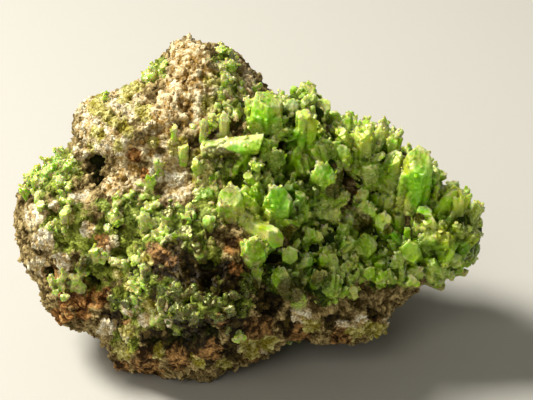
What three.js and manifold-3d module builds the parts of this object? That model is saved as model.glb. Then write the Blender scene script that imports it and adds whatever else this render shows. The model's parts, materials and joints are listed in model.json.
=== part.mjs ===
// A pyromorphite cluster: a crumbly, iron-stained rock with crusts of hexagonal pyromorphite crystals grown on it.
// Millimetres, +Z up. The rock rests on its flat underside at z = 0, and the origin is the middle of that face.
//
// The specimen has a display side. Places on it are given as seen from there, along a sight line that looks down
// by LOOK_DOWN: [across, up] is millimetres to the right and up the view from the middle of the rock, and "out" is
// towards the viewer. Places on the far side use the same across and up, seen through the rock.
import * as THREE from "three";
import { mergeVertices } from "three/addons/utils/BufferGeometryUtils.js";
import Module from "manifold-3d";

const wasm = await Module();
wasm.setup();

// Driving dimensions, in millimetres.
const LOOK_DOWN = THREE.MathUtils.degToRad(28);
const MIDDLE_HEIGHT = 19.2; // of the rock's middle above the resting face
const MIDDLE_OFFSET = [7, -1]; // of the rock's middle from the resting face's middle, along X and Y
const FRONT_DEPTH = 14; // of the rock in front of its outline
const BACK_DEPTH = 17; // of the rock behind its outline
const RIM_ROUNDING = 2.3; // exponent of the rock's edge: 2 is elliptical, more is blockier
const CRUST_THICKNESS = 1.1; // of a crystal crust between its crystals
const CRUST_EDGE = 0.35; // of a crust where it thins out
const SEAT_GAP = 0.32; // between the rock and what grows on it
const CRYSTAL_SEAT = 1.7; // radius of the crust that each crystal stands on
const ROOT_HEIGHT = 0.12; // of a crystal's root above the underside of its crust
const ROCK_DETAIL = 9; // subdivisions of the rock's surface
const BEVEL = 0.14; // of a large crystal's width, between its sides and its end face
const LARGE = 3.6; // length from which a crystal has that bevel, and a belly if it is a barrel

// ---- The display frame ----

const OUT = new THREE.Vector3(0, -Math.cos(LOOK_DOWN), Math.sin(LOOK_DOWN));
const UP = new THREE.Vector3(0, Math.sin(LOOK_DOWN), Math.cos(LOOK_DOWN));
const RIGHT = new THREE.Vector3(1, 0, 0);
const MIDDLE = new THREE.Vector3(0, 0, MIDDLE_HEIGHT);

function direction(right, up, out) {
  return new THREE.Vector3()
    .addScaledVector(RIGHT, right)
    .addScaledVector(UP, up)
    .addScaledVector(OUT, out);
}

function place(across, up, out) {
  return direction(across, up, out).add(MIDDLE);
}

// ---- Noise: smooth lumps from hashed lattice points ----

function hash(x, y, z) {
  const h = Math.sin(x * 127.1 + y * 311.7 + z * 74.7) * 43758.5453;
  return (h - Math.floor(h)) * 2 - 1;
}

function lumps(point, size) {
  const p = point.clone().divideScalar(size);
  const cell = p.clone().floor();
  const f = p.sub(cell);
  const s = [f.x, f.y, f.z].map((v) => v * v * (3 - 2 * v));
  const mix = THREE.MathUtils.lerp;
  const along = (j, k) =>
    mix(hash(cell.x, cell.y + j, cell.z + k), hash(cell.x + 1, cell.y + j, cell.z + k), s[0]);
  return mix(mix(along(0, 0), along(1, 0), s[1]), mix(along(0, 1), along(1, 1), s[1]), s[2]);
}

function randomFrom(seed) {
  let state = seed;
  return () => {
    state = (Math.imul(state, 1664525) + 1013904223) >>> 0;
    return state / 4294967296;
  };
}

// ---- The rock ----

// The rock's outline from the display side, clockwise from the left lobe's tip: [across, up].
const OUTLINE = [
  [-30.2, 2.8], [-28.3, 4.7], [-25.1, 6.7], [-23.4, 8], [-23, 10.8], [-22.5, 12.4], [-20.9, 14.2], // left lobe, block
  [-18.7, 14.6], [-16.6, 15.3], [-14.7, 15.8], [-13.3, 17.2], [-12, 18.9], [-10.5, 20.7], [-8, 22.2], // up to the peak
  [-5.8, 21.4], [-2.5, 21.1], [-1.2, 19.5], [0.7, 17.8], [2.1, 15.3], [4.6, 14.5], [6.6, 14.5], // down to the saddle
  [8.3, 15], [9.5, 13.4], [10.8, 12.1], [12.6, 10.8], [14.5, 10], [16.8, 9.2], [18.7, 7], [20.8, 6.3], // crest
  [22.6, 5.1], [24, 2.9], [26.2, 1.3], [27.6, 0.2], [28.3, -1.6], [28.4, -4.2], [27.6, -6.6], // right tip
  [26.3, -8.2], [24.3, -9.2], [21.1, -11.3], [18.2, -12.6], [17.2, -13.6], [18, -15], [17.1, -16.2], // right underside
  [14.7, -16.8], [9.5, -16.7], [6.3, -16.8], [3.9, -17.8], [1.6, -19.5], [-1.3, -20.1], [-5.9, -21.7], // foot
  [-9.2, -22.2], [-13.2, -22], [-17.1, -21.6], [-18.8, -20.1], [-18.2, -18.4], [-20.4, -16.3], [-25, -15], // left base
  [-26.7, -14.2], [-27.2, -12.6], [-26.8, -10.8], [-27.4, -9.6], [-29.7, -8.7], [-30, -7.1], [-30, -4.5], // left side
  [-30.5, -1.6], [-30.7, 0.6],
];
const OUTLINE_HUB = [-1.3, -0.7]; // every point of the outline can be seen from here

// Mounds and hollows of the display side and of the far side: [across, up, reach, rise].
const FRONT_RELIEF = [
  [-5.9, -8.6, 12, 6], // nose, the part nearest the viewer
  [-3.3, -15.8, 8, 3.5], // bulge above the foot
  [-18.2, 10.8, 6.5, 4.5], // pale block under the peak's left
  [-6.6, 17.8, 5.5, 2.5], // peak
  [-11.8, 10.5, 7, 2.5], // slope below the peak
  [15.1, -2, 12, -7], // bowl of the main druse
  [4.6, 5.9, 4.5, -3], // gap between large crystals
  [9.5, 10.1, 2.6, -5], // cavity below the crest
  [12.8, 3.7, 2.6, -3.5], // slot in the bowl's wall
  [23, 3.9, 6, 2.5], // crest
  [27, -3.3, 6, 3], // right bulge
  [-20, 5.5, 4, -5], // notch under the pale block
  [-27.6, -0.7, 7, 3], // left lobe
  [-20.8, -10.8, 4, -4], // rusty crevice
  [-26, -7.6, 3, -4], // hole beside the left lobe
  [-24.7, -13.2, 5, 3], // rusty lump
  [-5.8, -7.9, 2, -3], // hole in the nose
  [-0.5, 2.9, 2.5, -2], // gap above the nose
  [-6.6, -20.8, 4, 1.5], // rolled edge of the foot
  [13.2, -15.1, 5, 2], // right end of the foot
];
const BACK_RELIEF = [
  [-4, -12, 13, 5], // heel
  [14, 2, 8, -4], // hollow behind the crest
  [-16, 8, 8, 3], // shoulder
  [6, 9, 5, 2.5],
  [-22, -3, 5, -3],
  [22, -6, 6, 2],
  [2, -2, 4, -3],
];

const outlinePolar = OUTLINE.map(([x, y]) => {
  const [dx, dy] = [x - OUTLINE_HUB[0], y - OUTLINE_HUB[1]];
  return { turn: Math.atan2(dy, dx), reach: Math.hypot(dx, dy) };
}).sort((a, b) => a.turn - b.turn);

// The outline's distance from its hub, in one direction of the view.
function outlineReach(turn) {
  const n = outlinePolar.length;
  let after = outlinePolar.findIndex((p) => p.turn > turn);
  if (after < 0) after = 0;
  const a = outlinePolar[(after + n - 1) % n];
  const b = outlinePolar[after];
  const full = 2 * Math.PI;
  const span = (b.turn - a.turn + full) % full;
  return THREE.MathUtils.lerp(a.reach, b.reach, ((turn - a.turn + full) % full) / span);
}

function relief(list, across, up) {
  return list.reduce((sum, [x, y, reach, rise]) => {
    const d = Math.hypot(across - x, up - y) / reach;
    return sum + rise * (1 - THREE.MathUtils.smoothstep(d, 0.2, 1));
  }, 0);
}

// A point of the rock's smooth form, for a direction from its middle in display axes.
function rockForm(d) {
  const t = Math.min(1, Math.hypot(d.x, d.y));
  const reach = outlineReach(Math.atan2(d.y, d.x)) * t;
  const across = OUTLINE_HUB[0] + (t ? (reach * d.x) / t : 0);
  const up = OUTLINE_HUB[1] + (t ? (reach * d.y) / t : 0);
  const edge = Math.pow(Math.max(0, 1 - Math.pow(t, RIM_ROUNDING)), 1 / RIM_ROUNDING);
  const inside = 1 - Math.pow(t, 6);
  const out =
    d.z >= 0
      ? FRONT_DEPTH * edge + relief(FRONT_RELIEF, across, up) * inside
      : -BACK_DEPTH * edge - relief(BACK_RELIEF, across, up) * inside;
  return { across, up, out };
}

// Vertex positions and normals of the rock, on a subdivided sphere.
function rockSurface() {
  const sphere = new THREE.IcosahedronGeometry(1, ROCK_DETAIL);
  sphere.deleteAttribute("normal");
  sphere.deleteAttribute("uv");
  const g = mergeVertices(sphere, 1e-4);
  const position = g.attributes.position;
  for (let i = 0; i < position.count; i++) {
    const form = rockForm(new THREE.Vector3().fromBufferAttribute(position, i));
    position.setXYZ(i, ...place(form.across, form.up, form.out));
  }
  g.computeVertexNormals();
  const points = [];
  for (let i = 0; i < position.count; i++) {
    const p = new THREE.Vector3().fromBufferAttribute(position, i);
    const n = new THREE.Vector3().fromBufferAttribute(g.attributes.normal, i);
    const bump = 1.0 * lumps(p, 6.3) + 0.55 * lumps(p, 2.9);
    points.push(p.addScaledVector(n, bump));
  }
  points.forEach((p, i) => position.setXYZ(i, p.x, p.y, p.z));
  g.computeVertexNormals();
  const normals = points.map((_, i) => new THREE.Vector3().fromBufferAttribute(g.attributes.normal, i));
  const faces = [];
  for (let i = 0; i < g.index.count; i += 3)
    faces.push([g.index.getX(i), g.index.getX(i + 1), g.index.getX(i + 2)]);
  return { points, normals, faces };
}

const rock = rockSurface();

// ---- Solids ----

function geometryOf(points, faces) {
  return new THREE.BufferGeometry()
    .setAttribute("position", new THREE.Float32BufferAttribute(points.flatMap((p) => [p.x, p.y, p.z]), 3))
    .setIndex(faces.flat());
}

function solidOf(geometry) {
  const g = geometry.clone();
  g.deleteAttribute("normal");
  g.deleteAttribute("uv");
  const merged = mergeVertices(g, 1e-4);
  return new wasm.Manifold(
    new wasm.Mesh({
      numProp: 3,
      vertProperties: new Float32Array(merged.attributes.position.array),
      triVerts: new Uint32Array(merged.index.array),
    }),
  );
}

function geometryOfSolid(solid) {
  const mesh = solid.getMesh();
  return new THREE.BufferGeometry()
    .setAttribute("position", new THREE.BufferAttribute(mesh.vertProperties, 3))
    .setIndex(new THREE.BufferAttribute(mesh.triVerts, 1));
}

// The largest of the separate bodies of a solid.
function largest(solid) {
  return solid.decompose().reduce((a, b) => (a.volume() > b.volume() ? a : b));
}

function grownRock(gap) {
  return solidOf(geometryOf(rock.points.map((p, i) => p.clone().addScaledVector(rock.normals[i], gap)), rock.faces));
}

function boxFrom(height) {
  const size = 120;
  return solidOf(new THREE.BoxGeometry(size, size, size).translate(0, 0, height + size / 2));
}

// ---- Crusts: patches of the rock's surface, thickened ----

// A patch is discs of the display side, [across, up, radius], and discs of the far side. Its front crystals stand on
// small discs of their own. A face belongs to it by the face's middle.
function inPatch(patch, face) {
  const middle = face.reduce((sum, v) => sum.add(rock.points[v]), new THREE.Vector3()).divideScalar(3).sub(MIDDLE);
  const [across, up, out] = [RIGHT, UP, OUT].map((axis) => middle.dot(axis));
  const inside = ([x, y, r]) => Math.hypot(across - x, up - y) < r;
  const underCrystal = ([x, y]) => inside([x, y, CRYSTAL_SEAT]);
  return (
    (out >= -1 && (patch.front.some(inside) || patch.crystals.some(underCrystal))) ||
    (out <= 1 && patch.back.some(inside))
  );
}

const facesAt = rock.points.map(() => []);
rock.faces.forEach((face, f) => face.forEach((v) => facesAt[v].push(f)));
const claimed = new Set(); // vertices that earlier crusts use

// The faces of a patch, as one piece that meets itself nowhere at a single point.
function patchFaces(patch) {
  const picked = new Set();
  rock.faces.forEach((face, f) => {
    if (inPatch(patch, face) && !face.some((v) => claimed.has(v))) picked.add(f);
  });
  const fans = (v) => {
    const left = new Set(facesAt[v].filter((f) => picked.has(f)));
    let count = 0;
    while (left.size) {
      count++;
      const todo = [left.values().next().value];
      left.delete(todo[0]);
      while (todo.length) {
        const at = rock.faces[todo.pop()];
        for (const f of left)
          if (rock.faces[f].filter((w) => at.includes(w)).length === 2) {
            left.delete(f);
            todo.push(f);
          }
      }
    }
    return count;
  };
  for (let changed = true; changed; ) {
    changed = false;
    rock.points.forEach((_, v) => {
      if (fans(v) > 1) {
        facesAt[v].forEach((f) => picked.add(f));
        changed = true;
      }
    });
  }
  // Keep the largest run of faces joined edge to edge.
  const runs = [];
  const unseen = new Set(picked);
  while (unseen.size) {
    const run = [];
    const todo = [unseen.values().next().value];
    unseen.delete(todo[0]);
    while (todo.length) {
      const f = todo.pop();
      run.push(f);
      const near = rock.faces[f].flatMap((v) => facesAt[v]);
      for (const g of near)
        if (unseen.has(g) && rock.faces[g].filter((w) => rock.faces[f].includes(w)).length === 2) {
          unseen.delete(g);
          todo.push(g);
        }
    }
    runs.push(run);
  }
  const kept = runs.reduce((a, b) => (a.length > b.length ? a : b));
  kept.forEach((f) => rock.faces[f].forEach((v) => claimed.add(v)));
  return kept;
}

function crustGeometry(patch) {
  const kept = patchFaces(patch).map((f) => rock.faces[f]);
  const edges = new Map();
  kept.forEach(([a, b, c]) => [[a, b], [b, c], [c, a]].forEach(([p, q]) => edges.set(p + "," + q, [p, q])));
  const rim = [...edges.values()].filter(([p, q]) => !edges.has(q + "," + p));
  const onRim = new Set(rim.flat());
  const used = [...new Set(kept.flat())];
  const index = new Map(used.map((v, i) => [v, i]));
  const lift = (v, h) => rock.points[v].clone().addScaledVector(rock.normals[v], h);
  const inner = used.map((v) => lift(v, SEAT_GAP + 0.02));
  const outer = used.map((v) => {
    const full = CRUST_THICKNESS * (1 + 0.45 * lumps(rock.points[v], 2.1));
    return lift(v, SEAT_GAP + (onRim.has(v) ? CRUST_EDGE : full));
  });
  const n = used.length;
  const faces = kept.flatMap(([a, b, c]) => [
    [index.get(a) + n, index.get(b) + n, index.get(c) + n],
    [index.get(a), index.get(c), index.get(b)],
  ]);
  rim.forEach(([p, q]) => {
    const [i, j] = [index.get(p), index.get(q)];
    faces.push([i, j, j + n], [i, j + n, i + n]);
  });
  return geometryOf([...inner, ...outer], faces);
}

// ---- Crystals: six-sided prisms with bevelled ends ----

const PRISM = "prism"; // straight sides
const BARREL = "barrel"; // sides that bulge in the middle
const POINT = "point"; // sides that draw in to a small end

// The root is drawn in to a point, so that a leaning crystal stays inside its crust.
function crystalGeometry(width, length, kind) {
  const r = width / 2;
  const end = kind === POINT ? 0.45 * r : kind === BARREL ? 0.88 * r : 0.95 * r;
  const belly = kind === BARREL && length >= LARGE ? [[1.06 * r, 0.55 * length]] : [];
  const bevel = kind === POINT || length < LARGE ? 0 : BEVEL * width;
  const bevelRing = bevel ? [[end, length - bevel]] : [];
  const profile = [[0, 0], [0.9 * r, 0.8 * r], ...belly, ...bevelRing, [end - 0.7 * bevel, length], [0, length]];
  return new THREE.LatheGeometry(profile.map(([x, y]) => new THREE.Vector2(x, y)), 6);
}

const rockMesh = new THREE.Mesh(geometryOf(rock.points, rock.faces));
rockMesh.material.side = THREE.DoubleSide;
const FAR = 60;

// Where the sight line through a place meets the rock, on the display side or on the far side.
function onRock(across, up, side) {
  const from = place(across, up, side * FAR);
  const hit = new THREE.Raycaster(from, OUT.clone().multiplyScalar(-side)).intersectObject(rockMesh)[0];
  return hit && { point: hit.point, normal: hit.face.normal };
}

// A crystal with its root in the crust, its axis along lean, and a turn about that axis.
function crystalSolid(root, axis, width, length, kind, turn) {
  const g = crystalGeometry(width, length, kind).rotateY(turn);
  g.applyQuaternion(new THREE.Quaternion().setFromUnitVectors(new THREE.Vector3(0, 1, 0), axis));
  return solidOf(g.translate(root.x, root.y, root.z));
}

// Crystals by hand, [across, up, lean, width, length, kind], where lean is [right, up, out] in display axes.
function placedCrystals(rows, random) {
  return rows.map(([across, up, lean, width, length, kind]) => {
    const { point, normal } = onRock(across, up, 1);
    const axis = direction(...lean).normalize();
    const root = point.clone().addScaledVector(normal, SEAT_GAP + ROOT_HEIGHT);
    return crystalSolid(root, axis, width, length + CRUST_THICKNESS / 2, kind, random() * Math.PI);
  });
}

// Crystals by rule, spread over a patch's discs on the far side.
function spreadCrystals(discs, count, random) {
  const made = [];
  for (let i = 0; i < count; i++) {
    const [x, y, r] = discs[i % discs.length];
    const turn = i * 2.4 + random();
    const away = r * Math.sqrt((i + 0.5) / count) * 0.7;
    const hit = onRock(x + away * Math.cos(turn), y + away * Math.sin(turn), -1);
    if (!hit) continue;
    const axis = hit.normal
      .clone()
      .add(new THREE.Vector3(random() - 0.5, random() - 0.5, random() - 0.2).multiplyScalar(0.9))
      .normalize();
    const root = hit.point.clone().addScaledVector(hit.normal, SEAT_GAP + ROOT_HEIGHT);
    const width = 1.6 + 1.2 * random();
    const length = Math.min(width * (1.2 + 0.4 * random()) + 0.6, 0.99 * LARGE);
    made.push(crystalSolid(root, axis, width, length, PRISM, random() * Math.PI));
  }
  return made;
}

// ---- What grows where ----

const MAIN_CRYSTALS = [
  [20.9, 0.9, [0.1, 0.76, 0.64], 3.6, 6.8, BARREL],
  [16.1, 7.3, [0.25, 0.85, 0.45], 2.2, 4.5, POINT],
  [16.9, 7.2, [0.5, 0.55, 0.6], 1.8, 3.1, PRISM],
  [14.5, 6.6, [0, 0.8, 0.6], 2.6, 4.2, BARREL],
  [0.5, 12.6, [0.5, -0.2, 0.85], 3.7, 4.7, BARREL],
  [6.7, 7.6, [0.05, 0.8, 0.6], 2.1, 5.3, PRISM],
  [-5, 7.8, [0.93, 0.12, 0.35], 2.5, 6.8, PRISM],
  [3.4, -1.1, [0.1, 0.65, 0.75], 3.3, 3.9, BARREL],
  [6.6, -0.7, [-0.05, 0.75, 0.65], 1.8, 3.8, PRISM],
  [9.5, 1.3, [0, 0.6, 0.8], 3.2, 5, BARREL],
  [23.8, 1.2, [0.1, 0.9, 0.4], 1.1, 2.6, PRISM],
  [24.2, -0.2, [0.45, 0.75, 0.5], 1.8, 3.5, POINT],
  [26, -1.3, [0.3, 0.8, 0.5], 2, 3.8, PRISM],
  [27, -1.2, [0.65, 0.5, 0.55], 2, 3.2, POINT],
  [26.2, -5.3, [-0.45, 0.8, 0.4], 1.2, 5.5, PRISM],
  [25, -4.7, [-0.4, 0.8, 0.45], 1.1, 5, PRISM],
  [27.1, -4.6, [-0.4, 0.8, 0.45], 1.3, 5, PRISM],
  [27.2, -1.8, [1, 0.02, 0.2], 0.7, 2, PRISM],
  [27, -6.1, [0.15, 0.45, 0.88], 2.4, 3.2, BARREL],
  [20.9, -5.7, [-0.1, 0.15, 0.97], 2.8, 2.9, BARREL],
  [17.8, -3.4, [-0.2, 0.6, 0.8], 2.2, 3.2, PRISM],
  [17.8, -0.7, [0.05, 0.7, 0.7], 2, 3.4, PRISM],
  [15.8, 3.9, [-0.2, 0.6, 0.8], 3.2, 3.4, PRISM],
  [18.9, 3.7, [-0.15, 0.7, 0.7], 2.4, 3.9, PRISM],
  [1.6, -2.1, [-0.75, 0.55, 0.4], 1.8, 3.7, PRISM],
  [-0.5, -1.6, [0.8, -0.4, 0.45], 2.4, 4.5, PRISM],
  [0.8, -5.5, [0, 0.3, 0.95], 2.9, 2.6, BARREL],
  [11.6, -4.9, [0.05, 0.8, 0.6], 1.4, 3.7, PRISM],
  [14.7, -5.5, [0.1, 0.4, 0.9], 2.9, 2.4, PRISM],
  [6.3, -11.6, [-0.05, 0.35, 0.93], 1.8, 2.6, BARREL],
  [4.9, -10, [-0.3, 0.5, 0.8], 2.4, 3.2, PRISM],
  [8.4, -9.9, [0.1, 0.6, 0.8], 2, 2.9, PRISM],
  [12.4, 9.8, [0.3, 0.65, 0.7], 1.8, 2.5, PRISM],
  [8.9, 11.9, [0.2, 0.6, 0.75], 2.1, 2.2, PRISM],
  [5.4, 12, [0, 0.55, 0.8], 2.1, 2.3, PRISM],
  [3.3, 12.2, [-0.1, 0.6, 0.75], 1.6, 2.3, PRISM],
  [10.7, -0.9, [-0.1, 0.3, 0.95], 2.4, 2.4, PRISM],
  [25.6, -7.2, [0.35, 0.1, 0.93], 1.7, 2.4, PRISM],
  [27, -3.2, [0.6, 0.3, 0.7], 1.6, 2.2, PRISM],
  [26.8, -5.4, [0.7, 0.1, 0.7], 1.6, 2.1, PRISM],
  [-2.1, -0.4, [0, 0.65, 0.75], 3.4, 3.7, BARREL],
  [-3.2, 9.6, [0.05, 0.8, 0.6], 1.8, 3.2, PRISM],
  [0.1, 11.8, [-0.1, 0.8, 0.6], 1.4, 2.9, PRISM],
  [-1.6, 5.5, [0.2, 0.5, 0.85], 2.1, 2.4, PRISM],
  [-13, -1.8, [0, 0.6, 0.8], 2.4, 2.9, BARREL],
  [-10.3, -1.3, [0.1, 0.5, 0.85], 2.1, 2.6, PRISM],
  [-7.8, -3.2, [0, 0.4, 0.9], 2.4, 2.6, PRISM],
  [-5, -2.1, [-0.1, 0.5, 0.85], 1.8, 2.6, PRISM],
  [-5.8, -5.5, [-0.3, 0.6, 0.75], 2.1, 3.2, PRISM],
  [-9.5, 8.6, [0.08, 0.85, 0.5], 1.2, 2.9, PRISM],
  [-8.3, 6.4, [0.1, 0.8, 0.6], 2.2, 2.9, PRISM],
  [-11.4, 5, [-0.2, 0.8, 0.55], 1.3, 2.1, PRISM],
  [-12.5, 2.6, [-0.1, 0.85, 0.5], 1.3, 2.6, PRISM],
  [-2.5, 18, [0.2, 0.6, 0.8], 1.8, 1.9, PRISM],
  [-3.1, 16, [0, 0.6, 0.8], 1.6, 1.8, PRISM],
];

const MAIN_DRUSE = {
  front: [
    [6.6, 11.2, 4.7], [1.6, 10.5, 3.4], [11.2, 9.2, 4], [15.8, 6.6, 4.2], [21, 3.3, 4.2], [25.7, -0.7, 4.2],
    [27.9, -3.9, 3.6], [23.7, -5.3, 4.5], [17.8, -5.3, 5.9], [10.5, -5.3, 6.6], [6.6, 1.3, 5.9], [0.7, 1.3, 5.5],
    [3.3, -7.9, 4.5], [9.2, -10.5, 3.4], [-3.3, 6.6, 3.9], [-4.6, 9.9, 2.6], [0, 5.9, 4], [-4.6, -2, 3],
    [-8.6, -2, 2.8], [-12.1, -1.6, 2.4], [-5.8, -5, 2.4], [-8.6, 7.4, 3], [-11.6, 4, 2.6], [29, -2, 3],
    [17, 0.5, 3.4], [4, 5.8, 3], [-2.6, 18, 2.6], [-2.4, 15.6, 2.6], [-0.6, 13.6, 2.8],
  ],
  back: [[19.7, 3.9, 3.9], [25, -0.7, 4.2], [14.5, 7.9, 3.3], [27.6, -3, 4.2]],
  crystals: MAIN_CRYSTALS,
};

// Smaller crusts, apart from the main one. back_crystals is how many crystals stand on a far-side crust.
const SMALL_CRUSTS = {
  left_lobe_crust: {
    front: [[-28.6, 2.2, 3], [-26.4, 3.6, 3], [-23.8, 4.6, 3], [-25, 1.6, 2.8], [-23.4, -1, 2.8]],
    back: [],
    crystals: [
      [-28.8, 1.8, [-0.35, 0.65, 0.7], 1.4, 2.3, PRISM],
      [-27.4, 3, [-0.1, 0.7, 0.7], 1.6, 2.3, PRISM],
      [-25.3, 4.6, [-0.2, 0.7, 0.7], 1.8, 2, PRISM],
      [-23.4, 5, [0.1, 0.7, 0.7], 1.6, 1.9, PRISM],
      [-26.6, 0.3, [0, 0.4, 0.9], 1.6, 1.8, PRISM],
      [-23.4, -1.2, [0, 0.6, 0.8], 1.8, 2.4, PRISM],
    ],
  },
  low_left_crust: {
    front: [[-24.8, -9.2, 3], [-22.6, -9.5, 3], [-21, -6.8, 3], [-19.5, -5.6, 2.8]],
    back: [],
    crystals: [
      [-24.8, -9.6, [-0.1, 0.4, 0.9], 2.4, 2.3, BARREL],
      [-22.4, -9.9, [0.1, 0.4, 0.9], 2.4, 2.3, BARREL],
      [-21.3, -7.1, [0.2, 0.6, 0.75], 1.8, 2.5, PRISM],
      [-19.6, -5.9, [0.1, 0.6, 0.75], 1.6, 2.3, PRISM],
    ],
  },
  peak_left_crust: {
    front: [[-11.4, 17.8, 3], [-13, 16, 2.8]],
    back: [],
    crystals: [
      [-12.3, 17, [-0.3, 0.5, 0.8], 1.8, 1.8, PRISM],
      [-11, 18, [-0.1, 0.5, 0.85], 1.6, 1.6, PRISM],
    ],
  },
  lower_front_crust: {
    front: [[-10.8, -11.8, 3.2], [-6.6, -13.2, 3.2], [-2.4, -12.7, 3], [-1.3, -16, 3]],
    back: [],
    crystals: [
      [-10.8, -11.8, [-0.1, 0.2, 0.95], 2, 2, PRISM],
      [-7.9, -12.8, [0, 0.1, 0.97], 1.8, 2, PRISM],
      [-2.4, -12.4, [0.2, 0.2, 0.95], 2, 2, PRISM],
      [-1.4, -15.6, [0.2, -0.1, 0.95], 1.8, 1.8, PRISM],
    ],
  },
  back_high_crust: {
    front: [],
    back: [[-4, 11, 4.4], [1.5, 8.6, 4.4], [6.4, 6, 3.6]],
    crystals: [],
    back_crystals: 5,
  },
  back_low_crust: {
    front: [],
    back: [[10, -6, 4.4], [16.5, -7, 4]],
    crystals: [],
    back_crystals: 5,
  },
};

// ---- Materials ----

const rockMaterial = new THREE.MeshStandardMaterial({ color: 0xa58a63, roughness: 0.9, metalness: 0 });
const crystalMaterial = new THREE.MeshStandardMaterial({ color: 0x7fa81f, roughness: 0.25, metalness: 0 });

// ---- The cluster ----

const cluster = new THREE.Group();

function addNode(name, solid, material) {
  const mesh = new THREE.Mesh(geometryOfSolid(solid), material);
  mesh.name = name;
  cluster.add(mesh);
}

addNode("matrix", largest(solidOf(rockMesh.geometry).intersect(boxFrom(0))), rockMaterial);

const seat = grownRock(SEAT_GAP);
const aboveSurface = boxFrom(0.6);

function addCrust(name, patch, crystals) {
  const crust = crystals.reduce((sum, one) => sum.add(one), solidOf(crustGeometry(patch)));
  addNode(name, largest(crust.subtract(seat).intersect(aboveSurface)), crystalMaterial);
}

const mainRandom = randomFrom(7);
addCrust("main_druse", MAIN_DRUSE, placedCrystals(MAIN_DRUSE.crystals, mainRandom));
Object.entries(SMALL_CRUSTS).forEach(([name, patch], i) => {
  const random = randomFrom(100 + i);
  const crystals = [
    ...placedCrystals(patch.crystals, random),
    ...spreadCrystals(patch.back, patch.back_crystals ?? 0, random),
  ];
  addCrust(name, patch, crystals);
});

cluster.position.set(...MIDDLE_OFFSET, 0);

export default cluster;
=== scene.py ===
# %% [markdown]
# # A pyromorphite cluster
# Pyromorphite is a green lead mineral. It grows as six-sided, often barrel-shaped crystals in the
# oxidised top of a lead vein, on gossan, the crumbly rusty rock that is left when ore weathers away. This
# lesson dresses the solid model of one hand specimen: it roughens the rock, grows thousands of crystals
# on it, and gives each surface a finish.
#
# The first cell loads the solid model. Its nodes are the frame that everything else is built on.

# %% The solid model
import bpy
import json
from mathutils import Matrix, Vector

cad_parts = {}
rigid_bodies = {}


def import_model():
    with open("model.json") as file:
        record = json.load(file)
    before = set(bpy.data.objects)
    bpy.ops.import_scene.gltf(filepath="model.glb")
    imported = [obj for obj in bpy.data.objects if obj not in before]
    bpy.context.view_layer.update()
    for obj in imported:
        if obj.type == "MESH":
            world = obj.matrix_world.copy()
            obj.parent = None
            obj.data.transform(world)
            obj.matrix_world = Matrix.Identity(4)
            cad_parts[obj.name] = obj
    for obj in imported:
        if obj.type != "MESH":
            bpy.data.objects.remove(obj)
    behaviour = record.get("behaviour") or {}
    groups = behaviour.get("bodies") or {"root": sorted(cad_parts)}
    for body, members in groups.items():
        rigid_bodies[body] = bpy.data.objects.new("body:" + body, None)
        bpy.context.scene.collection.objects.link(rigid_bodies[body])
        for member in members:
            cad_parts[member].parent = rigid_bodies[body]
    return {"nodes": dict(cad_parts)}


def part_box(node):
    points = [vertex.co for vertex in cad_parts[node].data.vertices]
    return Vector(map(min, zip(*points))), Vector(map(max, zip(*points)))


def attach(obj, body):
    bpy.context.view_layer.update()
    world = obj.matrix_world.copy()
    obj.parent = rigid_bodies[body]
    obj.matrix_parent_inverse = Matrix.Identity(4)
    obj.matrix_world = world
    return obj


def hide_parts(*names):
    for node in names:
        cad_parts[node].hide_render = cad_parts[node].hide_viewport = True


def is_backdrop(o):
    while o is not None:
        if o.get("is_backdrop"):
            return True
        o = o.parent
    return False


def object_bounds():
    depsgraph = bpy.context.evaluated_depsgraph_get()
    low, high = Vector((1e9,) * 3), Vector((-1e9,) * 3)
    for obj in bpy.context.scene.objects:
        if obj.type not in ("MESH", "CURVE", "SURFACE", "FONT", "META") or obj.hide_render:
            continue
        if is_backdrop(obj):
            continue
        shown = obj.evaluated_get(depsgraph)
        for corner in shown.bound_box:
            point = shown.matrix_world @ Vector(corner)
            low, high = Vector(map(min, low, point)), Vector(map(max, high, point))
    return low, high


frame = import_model()

cad_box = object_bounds()
print("nodes:", sorted(frame["nodes"]))
print("solid model's box, mm:", [[round(v * 1000, 1) for v in corner] for corner in cad_box])

# %% [markdown]
# ## Where things are
# The specimen has a display side. Places on it are easiest to give as a collector sees them: so many
# millimetres across and up from the rock's middle, looking down a little. One function turns such a place
# into the model's frame.

# %% The display frame
import bpy
import bmesh
import json
import math
import random
import numpy as np
from mathutils import Vector
from mathutils.bvhtree import BVHTree

MM = 0.001
LOOK_DOWN = math.radians(28)
RIGHT = Vector((1, 0, 0))
UP = Vector((0, math.sin(LOOK_DOWN), math.cos(LOOK_DOWN)))
OUT = Vector((0, -math.cos(LOOK_DOWN), math.sin(LOOK_DOWN)))  # towards the viewer
MIDDLE = Vector((7, -1, 19.2)) * MM  # of the rock, from the middle of its resting face


def direction(right, up, out):
    return right * RIGHT + up * UP + out * OUT


def place(across, up, out):
    return MIDDLE + direction(across, up, out) * MM


print("the rock's middle:", tuple(MIDDLE))

# %% [markdown]
# ## Camera, floor and light
# A long lens from about 30 cm keeps the small specimen free of distortion. The light is a large soft
# window high on the left and a little behind, so the tops of the crystals glow and the lower front falls
# into shade. A second, weak light from the front keeps that shade readable.

# %% Camera
CAMERA_DISTANCE = 0.300
VIEW_WIDTH = 0.0701  # what the camera takes in, at the rock's middle
SENSOR_WIDTH = 36.0  # mm
AIM = (2.17, 1.3)  # mm across and up

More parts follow.
